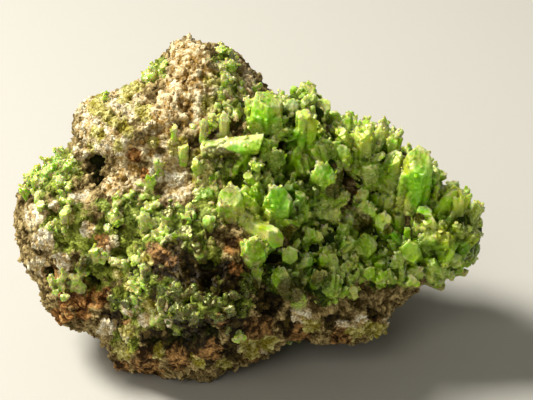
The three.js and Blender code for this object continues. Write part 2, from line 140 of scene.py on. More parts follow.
camera = bpy.data.objects.new("camera", bpy.data.cameras.new("camera"))
bpy.context.scene.collection.objects.link(camera)
camera.data.sensor_width = SENSOR_WIDTH
camera.data.lens = SENSOR_WIDTH * CAMERA_DISTANCE / VIEW_WIDTH
camera.data.clip_start = 10 * MM
camera.location = place(*AIM, 0) + OUT * CAMERA_DISTANCE
camera.rotation_euler = (math.pi / 2 - LOOK_DOWN, 0, 0)
bpy.context.scene.camera = camera
print("lens, mm:", round(camera.data.lens, 1))

# %% [markdown]
# Materials and Geometry Nodes trees are both made of nodes, so one small function adds a node of any kind
# to either. Arithmetic is the commonest step, so the name of an operation, such as MULTIPLY, stands for a
# Math node.

# %% Nodes and colours
VECTOR = "ShaderNodeVectorMath"
RANGE = "ShaderNodeMapRange"  # its inputs are a value, the range it is in, and the range it is moved to
MIX = "ShaderNodeMix"  # a Mix node's colours are its inputs 6 and 7 and its output 2
NOISE = "ShaderNodeTexNoise"
CELLS = "ShaderNodeTexVoronoi"


def feed(node, inputs):
    """Gives a node its inputs, in order or by name. Each is a value, or another node's output."""
    for socket, value in inputs.items() if isinstance(inputs, dict) else enumerate(inputs):
        if isinstance(value, bpy.types.NodeSocket):
            node.id_data.links.new(value, node.inputs[socket])
        else:
            node.inputs[socket].default_value = value


def adder(tree):
    """The function that adds a node with its inputs and settings to a tree, and returns an output."""
    def add(kind, inputs=(), out=0, **settings):
        arithmetic = kind.isupper()
        node = tree.nodes.new("ShaderNodeMath" if arithmetic else kind)
        if arithmetic:
            node.operation = kind
        for name, value in settings.items():
            setattr(node, name, value)
        feed(node, inputs)
        return node.outputs[out]
    return add


def linear(hex_colour):
    """An sRGB hex colour as the linear values that a shader takes."""
    channels = [int(hex_colour[i:i + 2], 16) / 255 for i in (1, 3, 5)]
    return tuple(c / 12.92 if c <= 0.04045 else ((c + 0.055) / 1.055) ** 2.4 for c in channels) + (1.0,)


def new_material(name):
    """A material, the function that adds nodes to it, and its surface node."""
    material = bpy.data.materials.new(name)
    material.use_nodes = True
    return material, adder(material.node_tree), material.node_tree.nodes["Principled BSDF"]


print("mid grey is linear", round(linear("#808080")[0], 3))

# %% Floor and lights
FLOOR_SIDE = 6.0


def painted_board():
    """A matt painted board: pale and even, with hardly any shine, so it doesn't draw the eye."""
    material, add, surface = new_material("matt_painted_board")
    feed(surface, {"Base Color": linear("#b4b3ad"), "Roughness": 0.85})
    return material


half = FLOOR_SIDE / 2
corners = [(-half, -half, 0), (half, -half, 0), (half, half, 0), (-half, half, 0)]
floor_mesh = bpy.data.meshes.new("floor")
floor_mesh.from_pydata(corners, [], [(0, 1, 2, 3)])
floor = bpy.data.objects.new("floor", floor_mesh)
floor.data.materials.append(painted_board())
bpy.context.scene.collection.objects.link(floor)
floor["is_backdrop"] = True


def soft_light(name, where, side, watts, colour):
    """A square soft box that faces the specimen."""
    data = bpy.data.lights.new(name, "AREA")
    data.size = side
    data.energy = watts
    data.color = linear(colour)[:3]
    lamp = bpy.data.objects.new(name, data)
    lamp.location = where
    lamp.rotation_euler = (MIDDLE - lamp.location).to_track_quat("-Z", "Y").to_euler()
    bpy.context.scene.collection.objects.link(lamp)
    return lamp


soft_light("window", Vector((-0.32, 0.06, 0.42)), 0.18, 6.0, "#fffaf0")
soft_light("fill", Vector((-0.15, -0.50, 0.40)), 0.30, 1.3, "#fff8ea")

world = bpy.data.worlds.new("studio")
world.use_nodes = True
feed(world.node_tree.nodes["Background"], {"Color": linear("#eeeae0"), "Strength": 0.17})
bpy.context.scene.world = world
bpy.context.scene.view_settings.view_transform = "Standard"

# %% [markdown]
# ## The rock
# The solid rock has the right masses, but it is faceted. Here its copy is subdivided until its mesh is
# finer than a crumb, and then pushed in and out by noise at several scales. The noise differs from place
# to place: gossan is pitted and crumbly, while the skin along the foot is botryoidal, which means smooth
# and bubbly like a bunch of grapes. A displacement texture could do this too, but a node tree can use a
# different mixture at every vertex.

# %% A fine copy of the rock
SUBDIVISIONS = 3
WELD = 0.002 * MM  # vertices closer than this are one


def link(name, mesh):
    thing = bpy.data.objects.new(name, mesh)
    bpy.context.scene.collection.objects.link(thing)
    return thing


def merged_copy(node):
    """A node's mesh with its loose triangles joined into one closed skin."""
    mesh = frame["nodes"][node].data.copy()
    b = bmesh.new()
    b.from_mesh(mesh)
    bmesh.ops.remove_doubles(b, verts=b.verts, dist=WELD)
    bmesh.ops.dissolve_degenerate(b, edges=b.edges, dist=WELD)
    b.to_mesh(mesh)
    b.free()
    mesh.materials.clear()
    return mesh


def applied(thing):
    """The thing's mesh with its modifiers worked into it, and the modifiers gone."""
    graph = bpy.context.evaluated_depsgraph_get()
    mesh = bpy.data.meshes.new_from_object(thing.evaluated_get(graph))
    thing.modifiers.clear()
    return mesh


rock = link("rock", merged_copy("matrix"))
subdivision = rock.modifiers.new("finer", "SUBSURF")
subdivision.levels = subdivision.render_levels = SUBDIVISIONS
rock.data = applied(rock)
print("rock faces:", len(rock.data.polygons))

# %% [markdown]
# The rock isn't the same all over, so its places are painted. An image could do that, but it would need
# an unwrapped rock. Soft discs need nothing: each is a point on the display side with a radius, and fades
# out at its edge. How strongly a vertex is covered by a set of discs is stored as a number on the mesh,
# which every tree and material can read. The back of the rock has discs of its own.

# %% Soft discs
DISPLAY_SIDE, FAR_SIDE = 1, -1
SIDE_FADE = (-2.5, 0)  # mm towards the viewer: where a disc has faded out, and where it is whole
DISC_FADE = (0.35, 1.25)  # the same across a disc, in radii


def coordinates(mesh):
    """The mesh's vertices as rows of x, y, z."""
    co = np.empty(len(mesh.vertices) * 3)
    mesh.vertices.foreach_get("co", co)
    return co.reshape(-1, 3)


def vertex_places(mesh):
    """Each vertex's place in the display frame, in millimetres: across, up, out."""
    return (coordinates(mesh) - np.array(MIDDLE)) / MM @ np.array([RIGHT, UP, OUT]).T


def soft_step(low, high, x):
    t = np.clip((x - low) / (high - low), 0, 1)
    return t * t * (3 - 2 * t)


def painted(places, discs, facing=DISPLAY_SIDE):
    """How strongly each place is covered by soft discs, [across, up, radius], on one side of the rock."""
    cover = np.zeros(len(places))
    for across, up, radius in discs:
        away = np.hypot(places[:, 0] - across, places[:, 1] - up) / radius
        cover = np.maximum(cover, 1 - soft_step(*DISC_FADE, away))
    return cover * soft_step(*SIDE_FADE, places[:, 2] * facing)


def store(mesh, name, values):
    mesh.attributes.new(name, "FLOAT", "POINT").data.foreach_set("value", np.asarray(values, np.float32))


def numbers(mesh, name):
    """The numbers that are stored on a mesh under a name."""
    values = np.empty(len(mesh.vertices))
    mesh.attributes[name].data.foreach_get("value", values)
    return values


places = vertex_places(rock.data)
print("the rock, mm across, up and out:", places.min(axis=0).round(1), "to", places.max(axis=0).round(1))

# %% [markdown]
# The stains and skins of a gossan are the record of its weathering: bare brown limonite, chalky cream
# crusts, powdery yellow-green films, rust where water ran out of a crevice, pinkish clay, and a thin
# green skin or glaze of the crystals' own mineral. Two sets of discs are painted shade instead: dark olive
# on the lower front and the foot, and near-black in the crevices.

# %% The rock's stains and painted shade
STAINS_AND_SHADE = {
    "brown": [  # bare gossan, tan to brown: the peak, and the slope below it
        [-7.9, 19.7, 2.9], [-5.9, 16.4, 2.9], [-8.6, 15.8, 2.6], [-10.3, 13.2, 2.6], [-6.6, 12.1, 2.6],
        [-11.8, 11.2, 2.1], [-9.9, 9.2, 2.1], [-13.2, 7.9, 1.8], [-3.2, 14.7, 1.3], [-15.8, 5.3, 1.8],
        # [-0.8, 17.4] lightens the peak's right side: partly its tan colour, partly painted light where the
        # window leaves it in shade
        [-17.1, 3, 1.6], [-14.5, 3.7, 1.8], [-0.8, 17.4, 1.8], [-1.6, 19.3, 1.2], [0.4, 15.6, 1.2],
        [9.6, 10.3, 1.8],
    ],
    "cream": [  # pale, chalky crust: the block under the peak, the left lobe, and ledges
        [-20.4, 13.2, 2.4], [-17.8, 14.5, 2.1], [-15.8, 12.5, 1.8], [-21.1, 10.5, 1.8], [-18.4, 9.2, 2.6],
        [-15.8, 9.2, 1.6], [-14.2, 13.9, 1.3], [-21.7, 7.6, 1.3], [-27.6, -0.7, 1.8], [-26.3, -3.9, 1.8],
        [-25, 0.7, 0.9], [-22.4, 1.7, 0.9], [-20.7, 1.7, 0.9], [-27, -7.2, 1.6], [-24.3, -6.8, 1.6],
        [-25, -9.5, 1.1], [-13.2, -14, 1.3], [-10.3, -14.2, 0.7], [-15.8, -15.8, 1.1], [-20.4, -2.4, 1.2],
        [-18.4, -4.7, 1.3], [6.6, -13.4, 1.6], [17.8, -14.7, 1.1], [-10.8, 5.2, 2.2], [-8.9, 2.6, 1.8],
        [-10.2, 1.2, 1.2], [-9.2, 6.6, 1.5], [-15.8, 6.8, 1.3], [-9.4, 3.8, 2.2], [-15.3, -12.4, 1.2],
        [-18.4, -15.2, 1.3], [-12.6, -12.6, 1], [-17.5, -4.2, 1.2], [-13.4, -6.4, 0.9], [-10.4, -11.6, 0.8],
        [16.1, -15.5, 1.2], [-13.8, -20, 1.5], [-0.3, -17.3, 1.4], [1.4, -18, 1.1], [14.4, -14.6, 1.4],
        # [-0.9, 17.2] lightens the peak's right side: partly its cream colour, partly painted light where the
        # window leaves it in shade
        [12, -14.9, 1.1], [-0.9, 17.2, 1.4], [-9.2, 3.2, 2.3], [-6.6, 7.2, 1],
    ],
    "lime": [  # powdery yellow-green film
        [-19.7, 15.1, 1.1], [-14.5, 15.8, 1.1], [-16.4, 11.2, 1.6], [-13.2, 11.8, 1.1], [-23, -0.7, 1.3],
        [-19.1, 6.6, 0.8], [-16.4, -18.4, 1.6], [-6.6, -19.3, 1.3], [-3.3, -20, 1.3], [-11.8, -18.4, 1.1],
        [0, -17.4, 1.8], [17.8, -15.5, 1.1], [7.9, -14.7, 1.6], [2.6, -16.7, 1.3], [-8.9, 8.2, 2],
        [-12, 8.6, 1.1], [-3.2, 11.5, 1.6], [-20, 13.5, 1.8], [-16, 14.5, 1.8], [-13.5, 12.8, 1.6],
        [-17.6, 11.8, 1.5], [-19.5, 9.6, 1.5], [-15.3, 9.9, 1.3], [-4.4, 16.6, 1.8], [-2, 17.5, 1.5],
        [-5, 13.5, 1.6], [-6.4, 6.6, 1.8], [-6, 3.6, 1.6], [-12.4, -12.2, 1.6], [-15.5, -15.5, 1.6],
        [15.6, -15.3, 1.6], [-15, -9.5, 1], [13.2, -15.6, 1.3], [-5.8, 5, 1.6], [-19, 12.6, 1.3],
        [-16.6, 8.2, 1.1], [-20.4, 8, 1.1], [-13, -6.2, 1.1], [-16.8, -8.2, 0.9], [0.3, -18.2, 1.6],
        [2.2, -17.4, 1.2], [16.1, -15.5, 1.8], [13.8, -15.9, 1.4],
    ],
    "rust": [  # iron stain
        [-22.6, -12.2, 3], [-19.8, -11.4, 1.8], [-25, -13.8, 1.6], [-21.7, -10.1, 1.3], [-18.4, -10.5, 0.9],
        [-1.6, -7.1, 1.3], [-2.6, -4.9, 0.8], [-14.5, 7, 1.3], [-13.2, 4.6, 0.9], [-19.1, -3.6, 0.8],
        [-10.5, 0.7, 0.7],
    ],
    "pink": [  # pinkish, clayey skin: the foot, and a patch on the nose
        [-2, -4.3, 1.6], [-11.8, -5.3, 1.6], [-9.9, -5.9, 1.3], [-13.2, -20, 2.6], [-9.2, -19.2, 1.8],
        [-4.6, -17.8, 1.5], [-17.1, -20.7, 1.6], [1.3, -15.4, 2.4], [6.6, -16.1, 1.8], [11.8, -16.1, 1.8],
        [16.1, -15.1, 1.6], [-18.2, -4.2, 1.3], [-25.7, -8.2, 1.3], [-21.1, -13.4, 1.3],
        [-15.8, -14.7, 1.1], [-6.6, -18.8, 1.4], [-3.3, -13.4, 1.3], [0.3, -18.4, 1.8],
    ],
    "skin": [  # a thin green skin over most of the left half and the lower front
        [-25, 5, 3.7], [-23.7, -1.6, 4.5], [-17.8, -5.3, 5], [-11.2, -3.3, 5.3], [-6.6, -7.2, 4.7],
        [-13.2, -11.8, 5.3], [-7.2, -13.2, 4.7], [-21.1, -10.5, 2.9], [-15.8, -16.4, 2.6], [-2, -11.8, 2.9],
        [-1.3, 3.9, 2.9], [-4.6, 0.7, 2.9], [-11.8, 18.7, 1.6], [-2.9, 18.4, 1.8], [-1.3, 14.5, 1.8],
        [-3.3, 12.5, 1.6], [-19.7, 14.7, 1.1], [-15.8, 15.5, 1.1],
    ],
    "glassy": [  # rock glazed by a thin green crust
        [-25, 5.3, 2.1], [-27, 3.3, 1.8], [-23, 5.9, 1.3], [-23, 1.3, 1.6], [-25, -2.6, 1.1],
        [-19.7, -5.9, 1.8], [-21.7, -7.9, 1.1], [-24.3, -10.5, 1.1], [-14.5, -0.7, 2.1], [-11.2, -2, 2.6],
        [-7.2, -2, 2.1], [-4.6, -0.7, 1.8], [-6.6, -3.9, 1.6], [-13.2, -8.6, 1.8], [-14.5, -11.8, 1.6],
        [-9.9, -9.9, 2.1], [-7.2, -11.8, 2.4], [-11.2, -13.2, 1.6], [-3.9, -11.8, 1.8], [-1.3, -11.8, 1.6],
        [0, -9.2, 1.6], [-17.1, -11.8, 1.1], [-9.2, -15.8, 1.3], [-15.8, -6.6, 1.3], [-18.4, 0.7, 1.1],
        [-16.4, 0.7, 1.1], [-3.7, 18.4, 1.6], [-4.6, 15.1, 1.3], [-2.6, 12.5, 1.3], [-11.8, 18.7, 1.3],
        [-3.3, 20.4, 1.1], [-19.1, 14.7, 0.8], [-2.6, 5.3, 2.6], [-6.6, 5.3, 1.3], [-5.3, 2.6, 1.8],
        [-1.3, 2.6, 1.3], [-15.1, 1.3, 1.7], [-13.2, 2, 1.6], [-17.1, -0.7, 1.6], [-2, 16.4, 1.6],
        [-1.3, 14.5, 1.3], [-2.9, 19.7, 1.3], [-0.7, 13.2, 1.2], [-4.2, 14.5, 1.1], [-11.2, 0.7, 1.6],
        [-9.2, -0.7, 1.8], [-12.6, 17.6, 1.5],
    ],
    "olive": [  # painted shade over partly olive-brown rock: the lower front, and the foot, which face down
        [-13.8, -8.8, 2.1], [-10.6, -11.2, 2.6], [-7.9, -11.2, 3.3], [-3.9, -12.5, 3], [-1.3, -9.2, 2.4],
        [-5.9, -8.6, 2.4], [-17.8, -13.8, 2], [-12.5, -16.4, 2], [-9.2, -17.8, 2], [-5.3, -17.8, 2.6],
        [-0.7, -15.1, 2.6], [2.6, -11.2, 2.6], [5.9, -14.5, 2.4], [11.2, -14.5, 2], [15.8, -13.8, 1.6],
        [-2, -17.8, 2], [-9.5, -4.5, 2.4], [-8, -6.8, 2.2], [-12, -17.2, 2.4], [-9, -16.8, 2.4],
        [-10.5, -8.5, 2.4], [-7.5, -9, 2.2], [-12.8, -6.4, 1.6], [-2.8, -7.5, 1.6], [-9.2, -6, 2],
        [-15.4, 0.3, 1.3], [-6.2, -15.4, 2.2], [-7.6, -12.9, 2], [-6.8, -9.8, 2], [-1.6, -12.6, 2],
    ],
    "dark": [  # crevices: cut into the rock, kept clear of crystals, and coloured near-black as painted shade
        [-20, 5.9, 1.2], [-19.7, 4.2, 0.8], [-26.1, -8.2, 0.7], [-20.4, -9.2, 0.9], [-18.4, -6.8, 0.7],
        [-5.5, -6.8, 0.8], [-5.4, -8.6, 0.8], [3.3, 7.9, 1.1], [4.3, 6.7, 0.7], [6.6, 3.9, 0.9],
        [12.5, 3.9, 1.1], [21.7, -0.9, 0.9], [17.6, -3.6, 0.8], [10.5, -2.1, 0.8], [2.1, -7.9, 0.8],
        [15.3, 2.4, 0.7], [-7.9, -11.2, 0.7], [-2.6, -10, 0.7], [13.4, -2.1, 0.5], [7.9, -0.7, 0.7],
        [-12.3, -17.3, 1.2], [-9.4, -17, 1.5], [-7, -16.6, 1.1], [-5.2, -9.6, 0.7], [-4.6, -15.8, 1.2],
        [-10.4, -15.6, 1], [22.5, -6, 1.1], [3.5, -6.2, 1],
    ],
}
FAR_STAINS = {
    "glassy": [[-8, 4, 6], [12, 6, 6], [-18, -6, 5], [4, -12, 7]],
    "cream": [[-14, 12, 6], [0, 0, 7], [18, -2, 6], [-24, 0, 5]],
}
stains_and_shade = {name: painted(places, discs) for name, discs in STAINS_AND_SHADE.items()}
for name, discs in FAR_STAINS.items():
    stains_and_shade[name] = np.maximum(stains_and_shade[name], painted(places, discs, FAR_SIDE))
for name, cover in stains_and_shade.items():
    store(rock.data, name, cover)
    print(name, "covers", round(float(cover.mean()) * 100, 1), "% of the vertices")

# %% [markdown]
# The crystals have their own places: the bowl-shaped right half is grown over without a break and is
# coarse in parts, while the left half has separate patches. Crevices and one brown hole stay open.

# %% Where crystals grow
DENSE = [  # druse without a break: the bowl and its rim
    [6.6, 11.2, 4.6], [1.8, 11.1, 3.2], [11.2, 9.2, 3.9], [15.8, 6.6, 4.2], [21.1, 3.3, 4.2],
    [25.7, -0.7, 4.2], [27.9, -3.9, 3.6], [23.7, -5.3, 4.5], [17.8, -5.3, 5.4], [10.5, -5.3, 6.1],
    [6.6, 1.3, 5.9], [1.6, 0.9, 3.9], [3.9, -7.2, 3.4], [9.2, -9.5, 2.6], [1.1, 6.6, 3.2], [28.9, -2, 2.9],
    [17, 0.5, 3.4], [3.9, 5.8, 3],
]
COARSE = [  # where it is coarse
    [2, 12.5, 3.2], [6.6, 9.2, 2.9], [0, 7.9, 1.6], [9.2, 4.6, 2.9], [14.5, 8.6, 2.9], [17.1, 11.2, 1.6],
    [21.3, 3.9, 3.4], [25, 2, 2.1], [3.3, 0.7, 2.9], [6.6, 1.3, 1.8], [0.7, -1.3, 2.4], [25, -3.3, 2.6],
    [28.3, 0, 1.8], [18.4, -0.7, 2.1], [22.4, -3.9, 2.1], [2.6, -5.3, 1.8], [12.5, 0.7, 1.6],
    [27.6, -3.9, 1.8],
]
PATCHY = [  # separate patches of small crystals
    [-12.3, 17.6, 0.8], [0, 15.5, 1], [-3.7, 12.5, 1.3], [-5.9, 10.5, 1.1], [-9.2, 10.9, 0.5],
    [-8.8, 7.9, 0.9], [-11.2, 5.9, 0.7], [-12.2, 3.9, 0.8], [-4.6, 7.9, 1.6], [-2, 5.3, 1.8],
    [-5.9, 4.3, 1.3], [-3.3, 2.4, 1.6], [-11.2, -2, 2.4], [-7.9, -0.9, 1.8], [-4.6, -0.3, 1.6],
    [-13.8, -0.9, 1.1], [-6.6, -3.9, 1.3], [-14.5, -5.9, 1.1], [-13.2, -9.9, 1.2], [-10.5, -11.8, 1.3],
    [-7.2, -12.1, 1.3], [-2.9, -11.8, 1.3], [-1.6, -15.3, 1.1], [-25, 5.5, 2.4], [-27.9, 3.7, 1.6],
    [-23, 2, 1.3], [-23.9, -2, 1.1], [-23.4, -0.7, 0.8], [-19.7, -6.2, 1.3], [-24.5, -10, 1.2],
    [-22.1, -9.7, 1.2], [-17.4, -12.1, 0.8], [-21.1, -7.4, 1.1],
]
FAR_GROWTH = [
    [19.7, 3.9, 3.9], [25, -0.7, 4.2], [14.5, 7.9, 3.3], [27.6, -3, 4.2], [-4, 11, 4.4], [1.5, 8.6, 4.4],
    [6.4, 6, 3.6], [10, -6, 4.4], [16.5, -7, 4],
]
BROWN_HOLE = [9.6, 10.3, 1.7]

open_crust = 1 - painted(places, STAINS_AND_SHADE["dark"] + [BROWN_HOLE])
zones = {
    "dense": painted(places, DENSE) * open_crust,
    "patchy": painted(places, PATCHY) * open_crust,
    "coarse": painted(places, COARSE) * painted(places, DENSE) * open_crust,
    "far": painted(places, FAR_GROWTH, FAR_SIDE),
}
for name, cover in zones.items():
    store(rock.data, name, cover)
    print(name, "covers", round(float(cover.mean()) * 100, 1), "% of the vertices")

# %% [markdown]
# Each crust of the solid model says which crust a crystal belongs to. A rock vertex that lies right under
# a crust is part of it, so the nearest distance to the crust's solid becomes that crust's mask.

# %% Masks of the crusts
CRUSTS = sorted(set(frame["nodes"]) - {"matrix"})
UNDER_CRUST = (0.7, 1.5)  # mm from a crust: wholly under it, and clear of it
PATCHY_SHARE = DENSE_SHARE = 0.8  # how much those zones count for the druse as a whole


def surface_of(mesh):
    """A mesh's surface, to be searched for its nearest point or hit by a ray."""
    return BVHTree.FromPolygons([v.co for v in mesh.vertices], [p.vertices for p in mesh.polygons])


def crust_mask(mesh, node):
    crust = surface_of(frame["nodes"][node].data)
    low, high = (np.array(c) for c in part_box(node))
    co = coordinates(mesh)
    near = np.all((co > low - 2 * MM) & (co < high + 2 * MM), axis=1)
    away = np.zeros(len(co))
    for i in np.flatnonzero(near):
        away[i] = crust.find_nearest(Vector(co[i]))[3] / MM
    return near * (1 - soft_step(*UNDER_CRUST, away))


masks = {node: crust_mask(rock.data, node) for node in CRUSTS}
for node, mask in masks.items():
    store(rock.data, node, mask)
grown_over = np.maximum.reduce([zones["dense"], PATCHY_SHARE * zones["patchy"], zones["far"]])
druse = np.maximum(np.max(list(masks.values()), axis=0) * grown_over, DENSE_SHARE * zones["dense"])
store(rock.data, "druse", druse)
print("vertices under each crust:", {node: int(mask.sum()) for node, mask in masks.items()})

# %% [markdown]
# Now the weathering. A Geometry Nodes tree moves every vertex along the surface's normal by a sum of
# bumps: broad lumps, crumbs (the cells of a Voronoi pattern, the usual choice for anything granular,
# broken up by noise), fine grit, and pits where a noise passes a threshold. Smooth Voronoi cells give the
# botryoidal skin. Under the druse the rock swells by the thickness of the crust and dips into broad
# valleys, and crevices are cut in. The crumbs also push sideways, so that bare rock gets ragged
# overhangs. Nothing may go below the floor.

# %% Building trees
def new_tree(name, **names):
    """A Geometry Nodes tree with named inputs, given as lists of names for each kind of socket."""
    tree = bpy.data.node_groups.new(name, "GeometryNodeTree")
    tree.interface.new_socket("Geometry", in_out="INPUT", socket_type="NodeSocketGeometry")
    for kind in names:
        for size in names[kind]:
            tree.interface.new_socket(size, in_out="INPUT", socket_type="NodeSocket" + kind)
    tree.interface.new_socket("Geometry", in_out="OUTPUT", socket_type="NodeSocketGeometry")
    return tree, adder(tree), tree.nodes.new("NodeGroupInput").outputs


def end_tree(tree, geometry, material):
    """Every tree ends as real mesh with its material."""
    add = adder(tree)
    real = add("GeometryNodeRealizeInstances", [geometry])
    done = add("GeometryNodeSetMaterial", {"Geometry": real, "Material": material})
    feed(tree.nodes.new("NodeGroupOutput"), [done])
    return tree


def grown(thing, tree, values):
    """Runs a tree on a thing and returns the finished mesh. The thing keeps its own."""
    modifier = thing.modifiers.new(tree.name, "NODES")
    modifier.node_group = tree
    for socket in tree.interface.items_tree:
        if socket.in_out == "INPUT" and socket.name in values:
            modifier[socket.identifier] = values[socket.name]
    return applied(thing)


NUMBER = "GeometryNodeInputNamedAttribute"
STORED = "GeometryNodeStoreNamedAttribute"
print("a number or a vector stored on a mesh is read by a", NUMBER, "node")

# %% The weathering tree
BUMPS = {  # mm across, mm high
    "Lump": (3.4, 0.7),
    "Crumb": (1.3, 1.0),
    "Grit": (0.6, 0.45),
    "Pit": (2.4, 0.9),
    "Bubble": (2.0, 1.3),
}
CRUST_HEIGHT = 1.5
CREVICE_DEPTH = 2.0
VALLEY_SIZE = 5.0
VALLEYS = (-2.4, 0.4)  # mm, the lowest and the highest
VALLEY_EDGE, PIT_EDGE = (0.38, 0.55), (0.58, 0.68)  # of their noises: where they start and end
WARP, RAGGED = 0.9, 0.7  # mm that crumbs are bent out of round, and that bare rock is pushed sideways
RUBBLE = 2.4  # crumb heights that noise adds to the cells
DRUSE_SMOOTHS, CLAY_SMOOTHS = 0.8, 0.6  # how much roughness they take away
RELIEF = (0.6, 1.2)  # mm below the mean where the relief starts, and its range


def weathering_tree():
    sizes = [f"{bump} {what}" for bump in BUMPS for what in ("Size", "Height")]
    tree, add, given = new_tree(
        "weathering", Material=["Material"], Float=sizes + ["Crust Height", "Crevice Depth"])
    position = add("GeometryNodeInputPosition")
    per = {bump: add("DIVIDE", [1.0, given[bump + " Size"]]) for bump in BUMPS}
    druse, dense, pink = (add(NUMBER, {"Name": name}) for name in ("druse", "dense", "pink"))
    covered = add("MAXIMUM", [add("MULTIPLY", [druse, DRUSE_SMOOTHS]), add("MULTIPLY", [pink, CLAY_SMOOTHS])])
    bare = add("SUBTRACT", [1.0, covered])

    lumps = add(NOISE, {"Vector": position, "Scale": per["Lump"], "Detail": 2.0})
    lumps = add("MULTIPLY", [add("SUBTRACT", [lumps, 0.5]), add("MULTIPLY", [given["Lump Height"], 2.0])])

    warp = add(NOISE, {"Vector": position, "Scale": per["Crumb"], "Detail": 3.0}, "Color")
    warp = add(VECTOR, [warp, (0.5, 0.5, 0.5)], operation="SUBTRACT")
    warped = add(VECTOR, {0: warp, "Scale": WARP * MM}, operation="SCALE")
    warped = add(VECTOR, [position, warped], operation="ADD")
    cells = add(CELLS, {"Vector": warped, "Scale": per["Crumb"]})
    rubble = add(NOISE, {"Vector": position, "Scale": per["Crumb"], "Detail": 6.0, "Roughness": 0.7})
    rubble = add("MULTIPLY_ADD", [rubble, RUBBLE, -RUBBLE / 2])
    crumbs = add("MULTIPLY_ADD", [add("SUBTRACT", [0.45, cells]), 0.5, rubble])
    crumbs = add("MULTIPLY", [crumbs, given["Crumb Height"]])

    grit = add(CELLS, {"Vector": warped, "Scale": per["Grit"]})
    grit = add("MULTIPLY", [add("SUBTRACT", [0.45, grit]), given["Grit Height"]])
    pits = add(NOISE, {"Vector": position, "Scale": per["Pit"], "Detail": 2.0})
    pits = add("MULTIPLY", [add(RANGE, [pits, *PIT_EDGE]), given["Pit Height"]])
    bubbles = add(CELLS, {"Vector": warped, "Scale": per["Bubble"], "Smoothness": 0.35}, feature="SMOOTH_F1")
    bubbles = add("MULTIPLY", [add("SUBTRACT", [0.4, bubbles]), given["Bubble Height"]])

    rough = add("SUBTRACT", [add("ADD", [crumbs, grit]), pits])
    # relief: how high a spot stands among the crumbs and pits; the material darkens the low spots with it, as
    # painted shade
    relief = add("DIVIDE", [add("ADD", [rough, RELIEF[0] * MM]), RELIEF[1] * MM])
    crust = add("MULTIPLY", [druse, add("MULTIPLY_ADD", [dense, 0.7, 0.3])])
    valleys = add(NOISE, {"Vector": position, "Scale": 1 / (VALLEY_SIZE * MM), "Detail": 1.0})
    valleys = add(RANGE, [valleys, *VALLEY_EDGE, VALLEYS[0] * MM, VALLEYS[1] * MM])
    height = lumps
    for bump, share in ((rough, bare), (bubbles, pink), (crust, given["Crust Height"]), (dense, valleys)):
        height = add("ADD", [height, add("MULTIPLY", [bump, share])])
    crevices = add("MULTIPLY", [add(NUMBER, {"Name": "dark"}), given["Crevice Depth"]])
    height = add("SUBTRACT", [height, crevices])

    push = add(VECTOR, {0: add("GeometryNodeInputNormal"), "Scale": height}, operation="SCALE")
    ragged = add(VECTOR, {0: warp, "Scale": RAGGED * MM}, operation="SCALE")
    ragged = add(VECTOR, {0: ragged, "Scale": bare}, operation="SCALE")
    moved = add(VECTOR, [position, add(VECTOR, [push, ragged], operation="ADD")], operation="ADD")
    above_floor = add(VECTOR, [moved, (-1.0, -1.0, 0.0)], operation="MAXIMUM")
    rocky = add(STORED, {"Geometry": given["Geometry"], "Name": "relief", "Value": relief})
    rocky = add("GeometryNodeSetPosition", {"Geometry": rocky, "Position": above_floor})
    return end_tree(tree, rocky, given["Material"])


weathering = weathering_tree()
print("weathering tree nodes:", len(weathering.nodes))

# %% [markdown]
# ## The rock's finish
# Gossan is limonite, an earthy mix of iron oxides: dull ochre and brown with no shine. Over it lie a
# chalky cream crust, a yellow-green powder, rust, and a pinkish clay, and three layers of painted shade:
# dark olive on the lower front and the foot, dark green under the druse, which is partly the crust's own
# green, and near-black in the crevices. Each is one colour pair that a fine noise mixes, laid over the last
# through its painted place. The place's edge is broken up by a coarser noise, so that no disc shows. The
# pits between the crumbs are darkened as painted shade.

# %% Gossan
GOSSAN_LAYERS = (  # the painted place, how much of it must cover a spot, and its dark and light colours
    ("skin", 0.45, "#5c6a08", "#acbc4c"),
    # painted shade on the lower front and the foot
    ("olive", 0.42, "#221a06", "#54461a"),
    ("glassy", 0.5, "#526806", "#a8bc50"),
    ("cream", 0.4, "#dcc488", "#fffce4"),
    ("brown", 0.35, "#b8964e", "#fff4cc"),
    ("pink", 0.5, "#442e10", "#c89c60"),
    ("lime", 0.62, "#a8a034", "#e8e498"),
    ("rust", 0.62, "#5a3408", "#d8a05c"),
    # dark green under the druse: the crust's own green, darkened as painted shade between the crystals
    ("dense", 0.4, "#2c4406", "#6a8018"),
    # painted shade in the crevices
    ("dark", 0.45, "#1c1c04", "#3c4210"),
)
BLOTCH, CRUMB, GRIT = 1.5, 0.8, 0.3  # mm
RAGGEDNESS = 2.2  # how far a blotch can move a place's edge, as a part of its cover
EDGE_WIDTH = 0.15  # half of the blend from one colour to the next
SHADER_NUMBER = "ShaderNodeAttribute"


def laid(add, colour, layers):
    """Lays coats of colour over a first one. Each layer is its cover, its colour and how it blends."""
    for cover, coat, *blend in layers:
        blend_type = blend[0] if blend else "MIX"
        colour = add(MIX, {0: cover, 6: colour, 7: coat}, 2, data_type="RGBA", blend_type=blend_type)
    return colour


